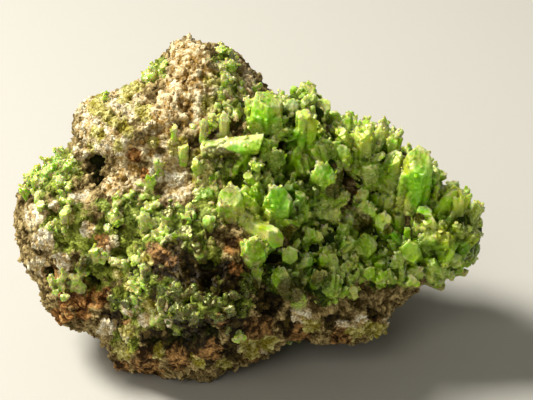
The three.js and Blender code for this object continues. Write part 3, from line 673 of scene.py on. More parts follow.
def gossan():
    """Weathered gossan: earthy iron oxide and clay, matt and speckled, with painted shade in its pits and
    crevices and on its lower front. Only its glaze shines a little.
    """
    material, add, surface = new_material("weathered_gossan")
    where = add("ShaderNodeTexCoord", out="Object")
    blotches, crumbs, grit = (
        add(NOISE, {"Vector": where, "Scale": 1000 / size, "Detail": detail})
        for size, detail in ((BLOTCH, 5.0), (CRUMB, 4.0), (GRIT, 3.0)))
    ragged = add("MULTIPLY_ADD", [blotches, RAGGEDNESS, -RAGGEDNESS / 2])

    def place_of(name, at):
        cover = add(SHADER_NUMBER, out="Fac", attribute_name=name)
        broken = add(RANGE, [add("ADD", [cover, ragged]), at - EDGE_WIDTH, at + EDGE_WIDTH])
        return add("MULTIPLY", [broken, add(RANGE, [cover, 0.02, 0.2])])

    relief = add(RANGE, [add(SHADER_NUMBER, out="Fac", attribute_name="relief"), 0.15, 0.85])
    # speck picks each layer's dark or light colour: by the crumbs' grain, and by the relief, lighter on high
    # spots and darker in pits, which is painted shade
    speck = add(RANGE, [add("ADD", [crumbs, add("MULTIPLY_ADD", [relief, 0.3, -0.15])]), 0.36, 0.62])
    colour = laid(add, linear("#64542a"), [(speck, linear("#ccb880"))])
    for name, at, dark, light in GOSSAN_LAYERS:
        colour = laid(add, colour, [(place_of(name, at), laid(add, linear(dark), [(speck, linear(light))]))])
    fine = laid(add, linear("#948c7c"), [(add(RANGE, [grit, 0.36, 0.6]), linear("#ffffff"))])
    # painted shade: darker where the relief is low, in the pits between the crumbs
    painted_pit_shade = laid(add, linear("#8c7448"), [(relief, linear("#ffffff"))])
    colour = laid(add, colour, [(0.8, fine, "MULTIPLY"), (0.45, painted_pit_shade, "MULTIPLY")])
    glazed = add("MAXIMUM", [place_of("skin", 0.45), place_of("glassy", 0.5)])
    grains = add("ADD", [grit, crumbs])
    feed(surface, {
        "Base Color": colour, "Roughness": add("MULTIPLY_ADD", [glazed, -0.4, 0.8]),
        "Specular IOR Level": 0.14,
        "Normal": add("ShaderNodeBump", {"Height": grains, "Strength": 0.8, "Distance": 0.3 * MM}),
    })
    return material


gossan_finish = gossan()
print("gossan material nodes:", len(gossan_finish.node_tree.nodes))

# %% The weathered rock
smooth_rock = surface_of(rock.data)  # stout crystals are rooted on it
sizes = {"Crust Height": CRUST_HEIGHT * MM, "Crevice Depth": CREVICE_DEPTH * MM}
for bump, (across, high) in BUMPS.items():
    sizes[bump + " Size"] = across * MM
    sizes[bump + " Height"] = high * MM
rock.data = grown(rock, weathering, {**sizes, "Material": gossan_finish})
rock.data.shade_smooth()
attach(rock, "root")
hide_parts("matrix")
print("rock triangles:", 2 * len(rock.data.polygons))

# %% [markdown]
# ## The crystals' finish
# Pyromorphite is translucent, with a resinous to nearly diamond-like shine. Light goes a millimetre or so
# into it and comes out yellow-green. Clear glass would show that if the crystal stood in the light, but
# on opaque rock it turns black, so most of the glow is subsurface light here, and only a fifth is plain
# transmission.
#
# Each vertex of a crystal carries numbers for the material: tone picks the crystal's own shade, height is
# how far it is above the rock, upward is how much it faces up, and edge is above nothing on a ridge and
# below it in a groove. Roots are painted a darker green, and grooves darker still: both are painted shade.
# Over the green lie a pale film, a clay stain on the left half, a sugary crust, pale rims that face up,
# which are partly frosted edges and partly painted highlight, and pale frost on what faces up, which is
# partly frost and partly painted light on the tops. Each is one coat of colour.

# %% Pyromorphite
GREENS = {  # each kind's shades, from the darkest to the palest
    "common": ("#788e04", "#8cb804", "#aadc06", "#c8ee3c", "#f2fab4"),
    "green": ("#629a04", "#76be04", "#94de04", "#baee38", "#eafab4"),
    "yellow": ("#949a10", "#acbe12", "#c6dc20", "#deec5c", "#f6fac0"),
    # painted shade: dull, dark olive for crystals that lie in shade, over their own duller colour
    "shady": ("#2a1e04", "#3a3006", "#504808", "#74681c", "#aca058"),
}
CLOUD, STAIN, DUST, SUGAR, FROST, FACET = 1.6, 1.1, 0.5, 0.32, 0.3, 0.55  # mm
UNEVENNESS = 1.2  # how far the clouds move a shade or a place's edge
IOR = 1.8  # pyromorphite's is about 2.05, but etched faces reflect less than polished ones


def pyromorphite():
    """Natural pyromorphite: translucent, resinous and etched, so it glows, with pale edges that are partly
    painted highlight and painted shade at its roots.
    """
    material, add, surface = new_material("pyromorphite")
    where = add("ShaderNodeTexCoord", out="Object")
    tone, height, upward, rooted, edge = (
        add(SHADER_NUMBER, out="Fac", attribute_name=name)
        for name in ("tone", "height", "upward", "dense", "edge"))
    cloud, stain, dust, sugar, frost = (
        add(NOISE, {"Vector": where, "Scale": 1000 / size, "Detail": detail})
        for size, detail in ((CLOUD, 4.0), (STAIN, 4.0), (DUST, 3.0), (SUGAR, 2.0), (FROST, 3.0)))
    ragged = add("MULTIPLY_ADD", [cloud, UNEVENNESS, -UNEVENNESS / 2])
    shade = add("ADD", [tone, ragged])
    green, yellow, shady, hazy = (
        add(RANGE, [add("ADD", [add(SHADER_NUMBER, out="Fac", attribute_name=name), ragged]), 0.35, 0.65])
        for name in ("green", "yellow", "shady", "hazy"))
    greens = []
    for colours in GREENS.values():
        greens.append(add("ShaderNodeValToRGB", [shade]))
        steps = greens[-1].node.color_ramp.elements
        while len(steps) < len(colours):
            steps.new(0.5)
        for k, (step, colour) in enumerate(zip(steps, colours)):
            step.position = k / (len(colours) - 1)
            step.color = linear(colour)
    common, clear, sunny, dull_and_shaded = greens

    # painted shade: crystals darken towards the rock, most in the dense druse
    root_shade = add(RANGE, [height, 0.0, 2.0, 0.85, 0.0])
    root_shade = add("MULTIPLY", [root_shade, add("MULTIPLY_ADD", [rooted, 0.5, 0.5])])
    dust = add(RANGE, [dust, 0.5, 0.62, 0.12, 0.75])
    film = add("MULTIPLY", [hazy, add("MULTIPLY_ADD", [dust, 0.5, 0.2])])
    stain = add("MULTIPLY", [add(RANGE, [stain, 0.46, 0.56, 0.0, 0.8]), add("SUBTRACT", [1.0, rooted])])
    # the clay stain, turned dark brown where crystals are shady: painted shade
    clay_stain_and_shade = laid(add, linear("#c6b684"), [(shady, linear("#4e3e18"))])
    sugar = add(RANGE, [sugar, 0.48, 0.64, 0.0, 0.6])
    sugar = add("MULTIPLY", [sugar, add("MULTIPLY_ADD", [hazy, 0.8, 0.2])])
    # painted shade in the grooves between crystals
    groove_shade = add(RANGE, [edge, -0.12, -0.02, 0.6, 0.0])
    patches = add(RANGE, [cloud, 0.36, 0.56])
    lit = add(RANGE, [upward, -0.1, 0.4, 0.15, 1.0])
    # pale rims that face up: partly frosted edges, partly painted highlight
    pale_rim_and_highlight = add(RANGE, [edge, 0.03, 0.13, 0.0, 0.85])
    # pale frost on what faces up, in patches: partly frost and dust, partly painted light on the tops
    frosted = add(RANGE, [upward, 0.1, 0.8])
    for factor in (lit, patches, add("MULTIPLY_ADD", [shady, -0.85, 1.0])):
        pale_rim_and_highlight = add("MULTIPLY", [pale_rim_and_highlight, factor])
    for factor in (patches, dust, add("MULTIPLY_ADD", [shady, -0.8, 1.0])):
        frosted = add("MULTIPLY", [frosted, factor])
    colour = laid(add, common, [
        (green, clear), (yellow, sunny), (shady, dull_and_shaded), (root_shade, linear("#3c6400")), (film, linear("#c0d470")),
        (stain, clay_stain_and_shade), (sugar, linear("#d0e080")), (groove_shade, linear("#2c4400")), (pale_rim_and_highlight, linear("#eaf2b8")),
        (frosted, linear("#dcec9c")),
    ])

    facets = add(CELLS, {"Vector": where, "Scale": 1000 / FACET})
    etched = add("ShaderNodeBump", {"Height": frost, "Strength": 0.6, "Distance": 0.12 * MM})
    faceted = add("ShaderNodeBump", {
        "Height": facets, "Strength": 0.7, "Distance": 0.2 * MM, "Normal": etched,
    })
    feed(surface, {
        "Base Color": colour, "Roughness": add("MULTIPLY_ADD", [cloud, 0.35, 0.04]), "IOR": IOR,
        "Transmission Weight": 0.22, "Specular IOR Level": 0.38, "Specular Tint": linear("#ecf0a8"),
        "Subsurface Weight": 1.0, "Subsurface Radius": (0.6, 1.0, 0.04), "Subsurface Scale": 0.8 * MM,
        "Normal": faceted,
    })
    return material


pyromorphite_finish = pyromorphite()
print("crystal material nodes:", len(pyromorphite_finish.node_tree.nodes))

# %% [markdown]
# ## The crystals' forms
# A crystal is a six-sided column. Its rings give the side its belly, and its end is flat or pointed. Most
# are bundles: crystals of pyromorphite like to grow side by side with nearly the same axis, so that a
# stout one is really a handful of slimmer ones at different heights, which makes its end stepped. Every
# form is about one unit wide and one unit long, and every crystal is a stretched copy of one of them.

# %% Forms
CORNERS = 6
PRISM_RINGS = [[0.92, 0], [1, 0.3], [0.98, 1]]  # radius, height
BARREL_RINGS = [[0.85, 0], [1.02, 0.3], [1.06, 0.6], [0.97, 0.88], [0.8, 1]]
POINT_RINGS = [[0.9, 0], [1, 0.3], [0.75, 0.8], [0.3, 1]]
TAPER_RINGS = [[0.8, 0], [1, 0.5], [0.96, 0.9], [0.82, 1]]


def column(b, rings, rnd, across=0.0, up=0.0, width=1.0, length=1.0, splay=0.0, uneven=0.08):
    """Adds a closed column to a mesh. It leans away from the middle by splay, and its end is tilted."""
    reach = [1 + rnd.uniform(-uneven, uneven) for _ in range(CORNERS)]
    turn = rnd.uniform(-0.1, 0.1)
    tilt = (rnd.uniform(-0.12, 0.12), rnd.uniform(-0.12, 0.12))
    loops = []
    for radius, height in rings:
        z = height * length
        last = height == rings[-1][1]
        loop = []
        for k in range(CORNERS):
            angle = math.tau * k / CORNERS
            loop.append(b.verts.new((
                across * (1 + splay * z) + 0.5 * width * radius * reach[k] * math.cos(angle + turn),
                up * (1 + splay * z) + 0.5 * width * radius * reach[k] * math.sin(angle + turn),
                z + last * width * (tilt[0] * math.cos(angle) + tilt[1] * math.sin(angle)),
            )))
        loops.append(loop)
    for low, high in zip(loops, loops[1:]):
        for k in range(CORNERS):
            b.faces.new((low[k], low[(k + 1) % CORNERS], high[(k + 1) % CORNERS], high[k]))
    b.faces.new(loops[0][::-1])
    b.faces.new(loops[-1])


def form(name, b):
    mesh = bpy.data.meshes.new(name)
    b.to_mesh(mesh)
    b.free()
    return mesh


def single(name, rings, seed, uneven=0.08):
    b = bmesh.new()
    column(b, rings, random.Random(seed), uneven=uneven)
    return form(name, b)


def bundle(name, count, seed, rings=PRISM_RINGS, splay=0.25, core=(0.55, 0.75), apart=(0.2, 0.34)):
    """A handful of columns around one in the middle, each cut at its own height."""
    rnd = random.Random(seed)
    b = bmesh.new()
    column(b, rings, rnd, width=rnd.uniform(*core), uneven=0.14)
    start = rnd.uniform(0, math.tau)
    for k in range(count):
        angle = start + math.tau * (k + rnd.uniform(-0.25, 0.25)) / count
        away = rnd.uniform(*apart)
        column(b, rings, rnd, away * math.cos(angle), away * math.sin(angle), rnd.uniform(0.3, 0.55),
               rnd.uniform(0.45, 0.98), splay, 0.15)
    return form(name, b)


def crumb(name, seed):
    """An angular crumb, about one unit across."""
    rnd = random.Random(seed)
    b = bmesh.new()
    bmesh.ops.create_icosphere(b, subdivisions=1, radius=0.5)
    for v in b.verts:
        v.co *= rnd.uniform(0.7, 1.25)
    return form(name, b)


def family(name, meshes):
    """A collection of forms for a tree to pick from. It isn't in the scene."""
    group = bpy.data.collections.new(name)
    for i, mesh in enumerate(meshes):
        group.objects.link(bpy.data.objects.new(f"{name}_{i}", mesh))
    return group


PRISM, BARREL, POINT, NEEDLE, STEPPED = 0, 1, 2, 3, 4  # in the order of the stout forms' names
STEPPED_FORMS = 4
stout_forms = family("stout_form", [
    single("a_prism", PRISM_RINGS, 1),
    bundle("b_barrel", 5, 58, BARREL_RINGS, 0.05, (0.94, 0.98), (0.3, 0.38)),
    single("c_point", POINT_RINGS, 3, 0.2), single("d_needle", PRISM_RINGS, 4, 0.2),
    bundle("e_stepped", 3, 51), bundle("f_stepped", 4, 52, BARREL_RINGS, 0.1),
    bundle("g_stepped", 2, 53, TAPER_RINGS), bundle("h_stepped", 5, 54, PRISM_RINGS, 0.35),
])
druse_forms = family("druse_form", [
    bundle("bundle_a", 5, 11), bundle("bundle_b", 4, 12, TAPER_RINGS),
    bundle("bundle_c", 6, 13, TAPER_RINGS, 0.5), bundle("bundle_d", 3, 14),
    single("block", PRISM_RINGS, 15, 0.2), single("taper", TAPER_RINGS, 16, 0.25),
])
crumb_forms = family("crumb_form", [crumb("crumb_a", 31), crumb("crumb_b", 32), crumb("crumb_c", 33)])
sugar_forms = family("sugar_form", [
    single("grain_prism", [[1, 0], [0.95, 1]], 21, 0.2), single("grain_wedge", [[1, 0], [0.6, 1]], 22, 0.3),
    single("grain_block", [[1, 0], [0.9, 1]], 23, 0.35),
])
FAMILIES = (stout_forms, druse_forms, crumb_forms, sugar_forms)

# %% [markdown]
# ## Sowing crystals
# Thousands of crystals can't be placed by hand, so a Geometry Nodes tree sows them. It scatters points
# over a mask, no two nearer than the set spacing, and stands a crystal on each. The crystal leans from
# the surface's normal a little upwards and a little at random, which is how a druse grows: crystals that
# point straight out win the race for room. A noise leaves bare patches. Crystals whose end would pass the
# set box, or would be further than the set reach from the crust's solid, are dropped, so that the dressed
# piece keeps to the size of its solid model.

# %% A form on each point
RANDOM = "FunctionNodeRandomValue"
VALUE, WHOLE = 1, 2  # which outputs of a random node hold a plain number and a whole one


def stand(tree, points, forms, pick, axis, turn, scale, tone, material):
    """The end of both crystal trees: a form on each point along its axis, with its own tone."""
    add = adder(tree)
    source = add("GeometryNodeCollectionInfo", {
        "Collection": forms, "Separate Children": True, "Reset Children": True,
    })
    upright = add("FunctionNodeAlignRotationToVector", {"Vector": axis}, axis="Z")
    spin = add("FunctionNodeAxisAngleToRotation", {"Axis": (0.0, 0.0, 1.0), "Angle": turn})
    turned = add(
        "FunctionNodeRotateRotation", {"Rotation": upright, "Rotate By": spin}, rotation_space="LOCAL")
    crystals = add("GeometryNodeInstanceOnPoints", {
        "Points": points, "Instance": source, "Pick Instance": True, "Instance Index": pick,
        "Rotation": turned, "Scale": scale,
    })
    for name, value, kind in (("tone", tone, "FLOAT"), ("axis", axis, "FLOAT_VECTOR")):
        carried = {"Geometry": crystals, "Name": name, "Value": value}
        crystals = add(STORED, carried, data_type=kind, domain="INSTANCE")
    return end_tree(tree, crystals, material)


print("crystals stand along their axis, turned about it by chance")

# %% The sowing tree
CANDIDATES = 4.0  # for each spacing squared, before those that are too near each other are dropped
CREVICES_OPEN = 0.8  # how much of the crystals a crevice keeps away
PATCH_EDGE = (0.42, 0.58)  # of the noise that leaves bare patches
SMALL_ONES = 1.6  # the power that makes most of the crystals small
SHORTEST, LONGEST = 0.7, 1.4  # times the slenderness
DRIFT_SIZE, DRIFT = 5.0, 4.0  # mm of a neighbourhood whose crystals are much of one tone, and how much
ENDS_INSIDE = -0.4  # of its width: how far past the box a crystal's end may be


def sowing_tree():
    tree, add, given = new_tree(
        "sowing", String=["Mask", "Zone"], Collection=["Forms"], Int=["Form Count", "Seed"],
        Material=["Material"], Vector=["Box Middle", "Box Reach"], Object=["Solid"],
        Float=["Spacing", "Smallest", "Largest", "Slenderness", "Spread", "Lift", "Tone", "Variety",
               "Sunk", "Roundness", "Patch Size", "Patchiness", "Following", "Reach"])
    # Where: the mask, less the crevices and the bare patches.
    mask = add("MULTIPLY", [add(NUMBER, {"Name": given["Mask"]}), add(NUMBER, {"Name": given["Zone"]})])
    crevices = add("MULTIPLY", [add(NUMBER, {"Name": "dark"}), CREVICES_OPEN])
    patches = add(NOISE, {"Scale": add("DIVIDE", [1.0, given["Patch Size"]]), "Detail": 2.0})
    patches = add("SUBTRACT", [1.0, add(RANGE, [patches, *PATCH_EDGE])])
    for thinning in (crevices, add("MULTIPLY", [patches, given["Patchiness"]])):
        mask = add("MULTIPLY", [mask, add("SUBTRACT", [1.0, thinning])])
    points = add("GeometryNodeDistributePointsOnFaces", {
        "Mesh": given["Geometry"], "Distance Min": given["Spacing"], "Density Factor": mask,
        "Density Max": add("DIVIDE", [CANDIDATES, add("MULTIPLY", [given["Spacing"], given["Spacing"]])]),
        "Seed": given["Seed"],
    }, "Points", distribute_method="POISSON")
    normal = points.node.outputs["Normal"]

    # Chance: each number has a seed of its own.
    bias, squeeze, stretch, shade, turn = (
        add(RANDOM, {2: low, 3: high, "Seed": add("ADD", [given["Seed"], step])}, VALUE)
        for low, high, step in (
            (0.0, 1.0, 1.0), (given["Roundness"], 1.0, 6.0), (SHORTEST, LONGEST, 2.0), (-1.0, 1.0, 3.0),
            (0.0, math.pi, 5.0)))
    pick = add(RANDOM, {4: 0, 5: 9, "Seed": add("ADD", [given["Seed"], 4.0])}, WHOLE, data_type="INT")
    pick = add("MODULO", [pick, given["Form Count"]])
    cube = {0: (-1.0, -1.0, -1.0), 1: (1.0, 1.0, 1.0)}
    jitter = add(RANDOM, {**cube, "Seed": given["Seed"]}, data_type="FLOAT_VECTOR")

    # Which way: outwards and upwards, or along the crystal that a grain sits on.
    jitter = add(VECTOR, {0: jitter, "Scale": given["Spread"]}, operation="SCALE")
    lift = add(VECTOR, {0: tuple(UP), "Scale": given["Lift"]}, operation="SCALE")
    axis = add(VECTOR, [normal, lift], operation="ADD")
    parent = add(NUMBER, {"Name": "axis"}, data_type="FLOAT_VECTOR")
    axis = add(MIX, {0: given["Following"], 4: axis, 5: parent}, 1, data_type="VECTOR")
    axis = add(VECTOR, [add(VECTOR, [axis, jitter], operation="ADD")], operation="NORMALIZE")

    # How large, and of what tone.
    width = add(RANGE, {0: add("POWER", [bias, SMALL_ONES]), 3: given["Smallest"], 4: given["Largest"]})
    length = add("MULTIPLY", [width, add("MULTIPLY", [given["Slenderness"], stretch])])
    scale = add("ShaderNodeCombineXYZ", [width, add("MULTIPLY", [width, squeeze]), length])
    drift = add(NOISE, {"Scale": 1000 / DRIFT_SIZE, "Detail": 1.0})
    drift = add("MULTIPLY_ADD", [drift, DRIFT, -DRIFT / 2])
    tone = add("MULTIPLY_ADD", [add("ADD", [shade, drift]), given["Variety"], given["Tone"]])

    # Its end has to be inside the box and near the solid.
    end = add(VECTOR, {0: axis, "Scale": length}, operation="SCALE")
    end = add(VECTOR, [end, add("GeometryNodeInputPosition")], operation="ADD")
    beyond = add(VECTOR, [end, given["Box Middle"]], operation="SUBTRACT")
    beyond = add(VECTOR, [beyond], operation="ABSOLUTE")
    beyond = add(VECTOR, [beyond, given["Box Reach"]], operation="SUBTRACT")
    beyond = add("ShaderNodeSeparateXYZ", [beyond]).node.outputs
    beyond = add("MAXIMUM", [add("MAXIMUM", [beyond[0], beyond[1]]), beyond[2]])
    beyond = add("GREATER_THAN", [beyond, add("MULTIPLY", [width, ENDS_INSIDE])])
    solid = add("GeometryNodeObjectInfo", {"Object": given["Solid"]}, "Geometry")
    off_solid = add("GeometryNodeProximity", {"Geometry": solid, "Sample Position": end}, "Distance",
                    target_element="FACES")
    dropped = add("MAXIMUM", [beyond, add("GREATER_THAN", [off_solid, given["Reach"]])])
    sunk = add(VECTOR, {0: axis, "Scale": add("MULTIPLY", [given["Sunk"], -1.0])}, operation="SCALE")
    points = add("GeometryNodeSetPosition", {"Geometry": points, "Offset": sunk})
    points = add("GeometryNodeDeleteGeometry", {"Geometry": points, "Selection": dropped}, domain="POINT")
    return stand(tree, points, given["Forms"], pick, axis, turn, scale, tone, given["Material"])


sowing = sowing_tree()
print("sowing tree nodes:", len(sowing.nodes))

# %% [markdown]
# ## The stout crystals
# The crystals that give the piece its character are listed one by one. Each row is where its root is seen,
# which way it points (right, up, towards the viewer), its width and length in millimetres, its form and
# its tone. A ray along the line of sight finds the rock at the root, so each one stands on the rock from
# every side.

# %% Stout crystals one by one
MAIN_STOUT = [  # across, up, [right, up, out], width, length, form, tone
    [20.9, 0.9, [0.1, 0.76, 0.64], 4.1, 7.3, BARREL, 0.42],
    [16.1, 7.3, [0.25, 0.85, 0.45], 2.4, 4.9, POINT, 0.85],
    [16.9, 7.2, [0.5, 0.55, 0.6], 1.8, 3.1, PRISM, 0.65],
    [14.5, 6.6, [0, 0.8, 0.6], 3, 4.7, BARREL, 0.6],
    [2.2, 10.6, [0.02, 0.75, 0.65], 4.7, 4.6, BARREL, 0.62],
    [6.7, 7.6, [0.05, 0.8, 0.6], 2.3, 5.7, PRISM, 0.6],
    [-5, 7.6, [0.95, 0.1, 0.28], 3, 6.8, NEEDLE, 0.35],
    [3.4, -1.1, [0.1, 0.65, 0.75], 3.8, 4.4, BARREL, 0.35],
    [6.6, -0.7, [-0.05, 0.75, 0.65], 1.8, 3.8, PRISM, 0.45],
    [9.5, 1.3, [0, 0.6, 0.8], 3.7, 5.5, BARREL, 0.45],
    [23.8, 1.2, [0.1, 0.9, 0.4], 1.1, 2.6, PRISM, 0.85],
    [24.2, -0.2, [0.45, 0.75, 0.5], 1.8, 3.5, POINT, 0.6],
    [26, -1.3, [0.3, 0.8, 0.5], 2.2, 4.2, PRISM, 0.65],
    [27, -1.2, [0.65, 0.5, 0.55], 2.2, 3.6, POINT, 0.6],
    [26.2, -5.3, [-0.45, 0.7, 0.6], 1.4, 5.5, NEEDLE, 0.8],
    [25, -4.7, [-0.4, 0.7, 0.62], 1.2, 5, NEEDLE, 0.85],
    [27.1, -4.6, [-0.4, 0.72, 0.58], 1.4, 5, NEEDLE, 0.8],
    [11.5, 9.8, [0.15, 0.8, 0.6], 0.45, 2.2, NEEDLE, 1.1],
    [11.8, 9.9, [0.4, 0.75, 0.55], 0.4, 2.0, NEEDLE, 1.1],
    [11.0, 9.6, [-0.2, 0.75, 0.6], 0.4, 1.8, NEEDLE, 1.1],
    [27.2, -1.8, [1, 0.02, 0.2], 0.7, 2, PRISM, 0.7],
    [27, -6.1, [0.15, 0.45, 0.88], 2.8, 3.7, BARREL, 0.45],
    [20.9, -5.7, [-0.1, 0.15, 0.97], 3.2, 3.4, BARREL, 0.4],
    [17.8, -3.4, [-0.2, 0.6, 0.8], 2.4, 3.6, PRISM, 0.5],
    [17.8, -0.7, [0.05, 0.7, 0.7], 2.2, 3.8, PRISM, 0.6],
    [15, -1.1, [0, 0.4, 0.9], 3, 2.9, BARREL, 0.4],
    [15.8, 3.9, [-0.2, 0.6, 0.8], 3.5, 3.8, PRISM, 0.4],
    [14.3, 0.9, [0.1, 0.5, 0.85], 2.3, 2.8, PRISM, 0.35],
    [12.5, 5.9, [-0.2, 0.5, 0.8], 2.3, 3.3, PRISM, 0.45],
    [18.9, 3.7, [-0.15, 0.7, 0.7], 2.6, 4.3, PRISM, 0.45],
    [22.1, -2.1, [0.05, 0.6, 0.8], 2.6, 3.6, PRISM, 0.5],
    [1.6, -2.1, [-0.75, 0.55, 0.4], 1.8, 3.7, PRISM, 0.95],
    [-0.5, -1.6, [0.8, -0.4, 0.45], 2.6, 4.9, PRISM, 0.6],
    [0.8, -5.5, [0, 0.3, 0.95], 3.3, 3.1, BARREL, 0.35],
    [11.6, -4.9, [0.05, 0.8, 0.6], 1.4, 3.7, PRISM, 0.55],
    [14.7, -5.5, [0.1, 0.4, 0.9], 3.1, 2.8, PRISM, 0.4],
    [12.4, -7.1, [-0.2, 0.6, 0.8], 1.8, 2.6, PRISM, 0.85],
    [6.3, -11.6, [-0.05, 0.35, 0.93], 2.1, 3.1, BARREL, 0.4],
    [4.9, -10, [-0.3, 0.5, 0.8], 2.6, 3.6, PRISM, 0.45],
    [8.4, -9.9, [0.1, 0.6, 0.8], 2.2, 3.3, PRISM, 0.5],
    [10.8, -10.8, [0, 0.4, 0.9], 1.6, 2.4, PRISM, 0.5],
    [3, 5.8, [0.2, 0.3, 0.93], 2.8, 2.9, BARREL, 0.3],
    [5.3, 5.9, [0.3, 0.6, 0.75], 1.4, 2.9, PRISM, 0.5],
    [0.5, 2.1, [0.1, 0.8, 0.6], 1.3, 2.9, PRISM, 0.7],
    [11.6, 8.3, [0.2, 0.5, 0.85], 1.8, 2.4, PRISM, 0.7],
    [12.4, 9.8, [0.3, 0.65, 0.7], 1.8, 2.5, PRISM, 0.8],
    [8.9, 11.9, [0.2, 0.6, 0.75], 2.3, 2.6, PRISM, 0.9],
    [5.4, 12, [0, 0.55, 0.8], 2.3, 2.7, PRISM, 0.95],
    [3.3, 12.2, [-0.1, 0.6, 0.75], 1.6, 2.3, PRISM, 0.9],
    [10.7, -0.9, [-0.1, 0.3, 0.95], 2.6, 2.8, PRISM, 0.5],
    [7.9, -3.4, [-0.1, 0.2, 0.97], 2.3, 2.5, PRISM, 0.45],
    [5.1, -6.1, [0, 0.2, 0.97], 2.3, 2.8, PRISM, 0.4],
    [9.2, -6.8, [0.1, 0.3, 0.95], 1.8, 2.4, PRISM, 0.45],
    [19.1, -7.1, [0, 0.35, 0.93], 2.2, 3, PRISM, 0.45],
    [17.1, -8.8, [0, 0.2, 0.97], 1.7, 2.4, PRISM, 0.5],
    [20.4, -9.2, [0.2, 0.1, 0.97], 1.7, 2.4, PRISM, 0.5],
    [23.2, -7.6, [0.2, 0.25, 0.95], 1.7, 2.6, PRISM, 0.5],
    [25.6, -7.2, [0.35, 0.1, 0.93], 1.7, 2.4, PRISM, 0.55],
    [27, -3.2, [0.6, 0.3, 0.7], 1.6, 2.2, PRISM, 0.6],
    [26.8, -5.4, [0.7, 0.1, 0.7], 1.6, 2.1, PRISM, 0.6],
    [23, -4.1, [-0.05, 0.4, 0.9], 1.8, 2.6, PRISM, 0.5],
    [13.2, -10.5, [0, 0.2, 0.98], 1.6, 2.1, PRISM, 0.5],
    [15.3, -8.4, [0, 0.2, 0.98], 1.7, 2.1, PRISM, 0.5],
    [-2.1, -0.4, [0, 0.65, 0.75], 3.4, 3.7, BARREL, 0.4],
    [-3.2, 9.6, [0.05, 0.8, 0.6], 1.44, 2.56, PRISM, 0.6],
    [-5.8, 9.3, [0.1, 0.8, 0.6], 1.22, 2.17, PRISM, 0.7],
    [0.1, 11.8, [-0.1, 0.8, 0.6], 1.4, 2.9, PRISM, 0.6],
    [-1.6, 5.5, [0.2, 0.5, 0.85], 1.68, 1.92, PRISM, 0.45],
    [-6.2, 5, [-0.3, 0.6, 0.75], 1.51, 1.95, PRISM, 0.5],
    [-13, -1.8, [0, 0.6, 0.8], 1.73, 2.17, BARREL, 0.4],
    [-10.3, -1.3, [0.1, 0.5, 0.85], 1.51, 1.95, PRISM, 0.5],
    [-7.8, -3.2, [0, 0.4, 0.9], 1.73, 1.95, PRISM, 0.45],
    [-5, -2.1, [-0.1, 0.5, 0.85], 1.3, 1.95, PRISM, 0.5],
    [-5.8, -5.5, [-0.3, 0.6, 0.75], 1.51, 2.4, PRISM, 0.4],
    [-9.5, 8.6, [0.08, 0.85, 0.5], 0.86, 2.17, PRISM, 0.75],
    [-8.3, 6.4, [0.1, 0.8, 0.6], 1.58, 2.17, PRISM, 0.65],
    [-11.4, 5, [-0.2, 0.8, 0.55], 0.94, 1.58, PRISM, 0.7],
    [-12.5, 2.6, [-0.1, 0.85, 0.5], 0.94, 1.95, PRISM, 0.7],
    [-2.5, 18, [0.2, 0.6, 0.8], 1.44, 1.52, PRISM, 0.4],
    [-3.1, 16, [0, 0.6, 0.8], 1.28, 1.44, PRISM, 0.4],
]
STOUT = {
    "main_druse_left": [row for row in MAIN_STOUT if row[0] < 3.5],
    "main_druse_middle": [row for row in MAIN_STOUT if 3.5 <= row[0] < 12],
    "main_druse_right": [row for row in MAIN_STOUT if 12 <= row[0] < 20],
    "main_druse_tip": [row for row in MAIN_STOUT if row[0] >= 20],
    "left_lobe_crust": [
        [-28.8, 1.8, [-0.35, 0.65, 0.7], 1.12, 1.61, PRISM, 0.6],
        [-27.4, 3, [-0.1, 0.7, 0.7], 1.28, 1.61, PRISM, 0.55],
        [-25.3, 4.6, [-0.2, 0.7, 0.7], 1.44, 1.4, PRISM, 0.5],
        [-23.4, 5, [0.1, 0.7, 0.7], 1.28, 1.33, PRISM, 0.4],
        [-24.2, 3, [0, 0.6, 0.8], 1.44, 1.4, PRISM, 0.35],
        [-26.6, 0.3, [0, 0.4, 0.9], 1.28, 1.26, PRISM, 0.5],
        [-23.4, -1.2, [0, 0.6, 0.8], 1.44, 1.68, PRISM, 0.75],
    ],
    "low_left_crust": [
        [-24.8, -9.6, [-0.5, 0.5, 0.7], 1.3, 1.6, PRISM, 0.5],
        [-24.2, -9.2, [0.4, 0.6, 0.6], 1.1, 1.8, PRISM, 0.4],
        [-22.6, -9.9, [0.3, 0.7, 0.6], 1.2, 1.9, PRISM, 0.5],
        [-22.1, -9.3, [-0.4, 0.6, 0.7], 1.0, 1.7, PRISM, 0.45],
        [-21.8, -8.4, [0.5, 0.7, 0.5], 1.1, 1.9, PRISM, 0.5],
        [-21.3, -7.1, [0.2, 0.6, 0.75], 1.44, 1.75, PRISM, 0.4],
        [-19.6, -5.9, [0.1, 0.6, 0.75], 1.28, 1.61, PRISM, 0.35],
    ],
    "peak_left_crust": [
        [-12.3, 17, [-0.3, 0.5, 0.8], 1.44, 1.26, PRISM, 0.6],
        [-11, 18, [-0.1, 0.5, 0.85], 1.28, 1.12, PRISM, 0.6],
    ],
    "lower_front_crust": [
        [-10.8, -11.8, [-0.1, 0.2, 0.95], 1.6, 1.4, PRISM, 0.4],
        [-7.9, -12.8, [0, 0.1, 0.97], 1.44, 1.4, PRISM, 0.35],
        [-2.4, -12.4, [0.2, 0.2, 0.95], 1.6, 1.4, PRISM, 0.35],
        [-1.4, -15.6, [0.2, -0.1, 0.95], 1.44, 1.26, PRISM, 0.45],
    ],
}

# %% Planting them
STOUT_ROOT = 0.9  # mm of a stout crystal that is hidden in the crust
STEPPED_SHARE = 0.75  # of the prisms: those that are really a bundle
STEPPED_EXTRA = 1.15  # times their width, because a bundle's ends are narrower than its foot
BEYOND = 60  # mm from the rock's middle, well in front of it


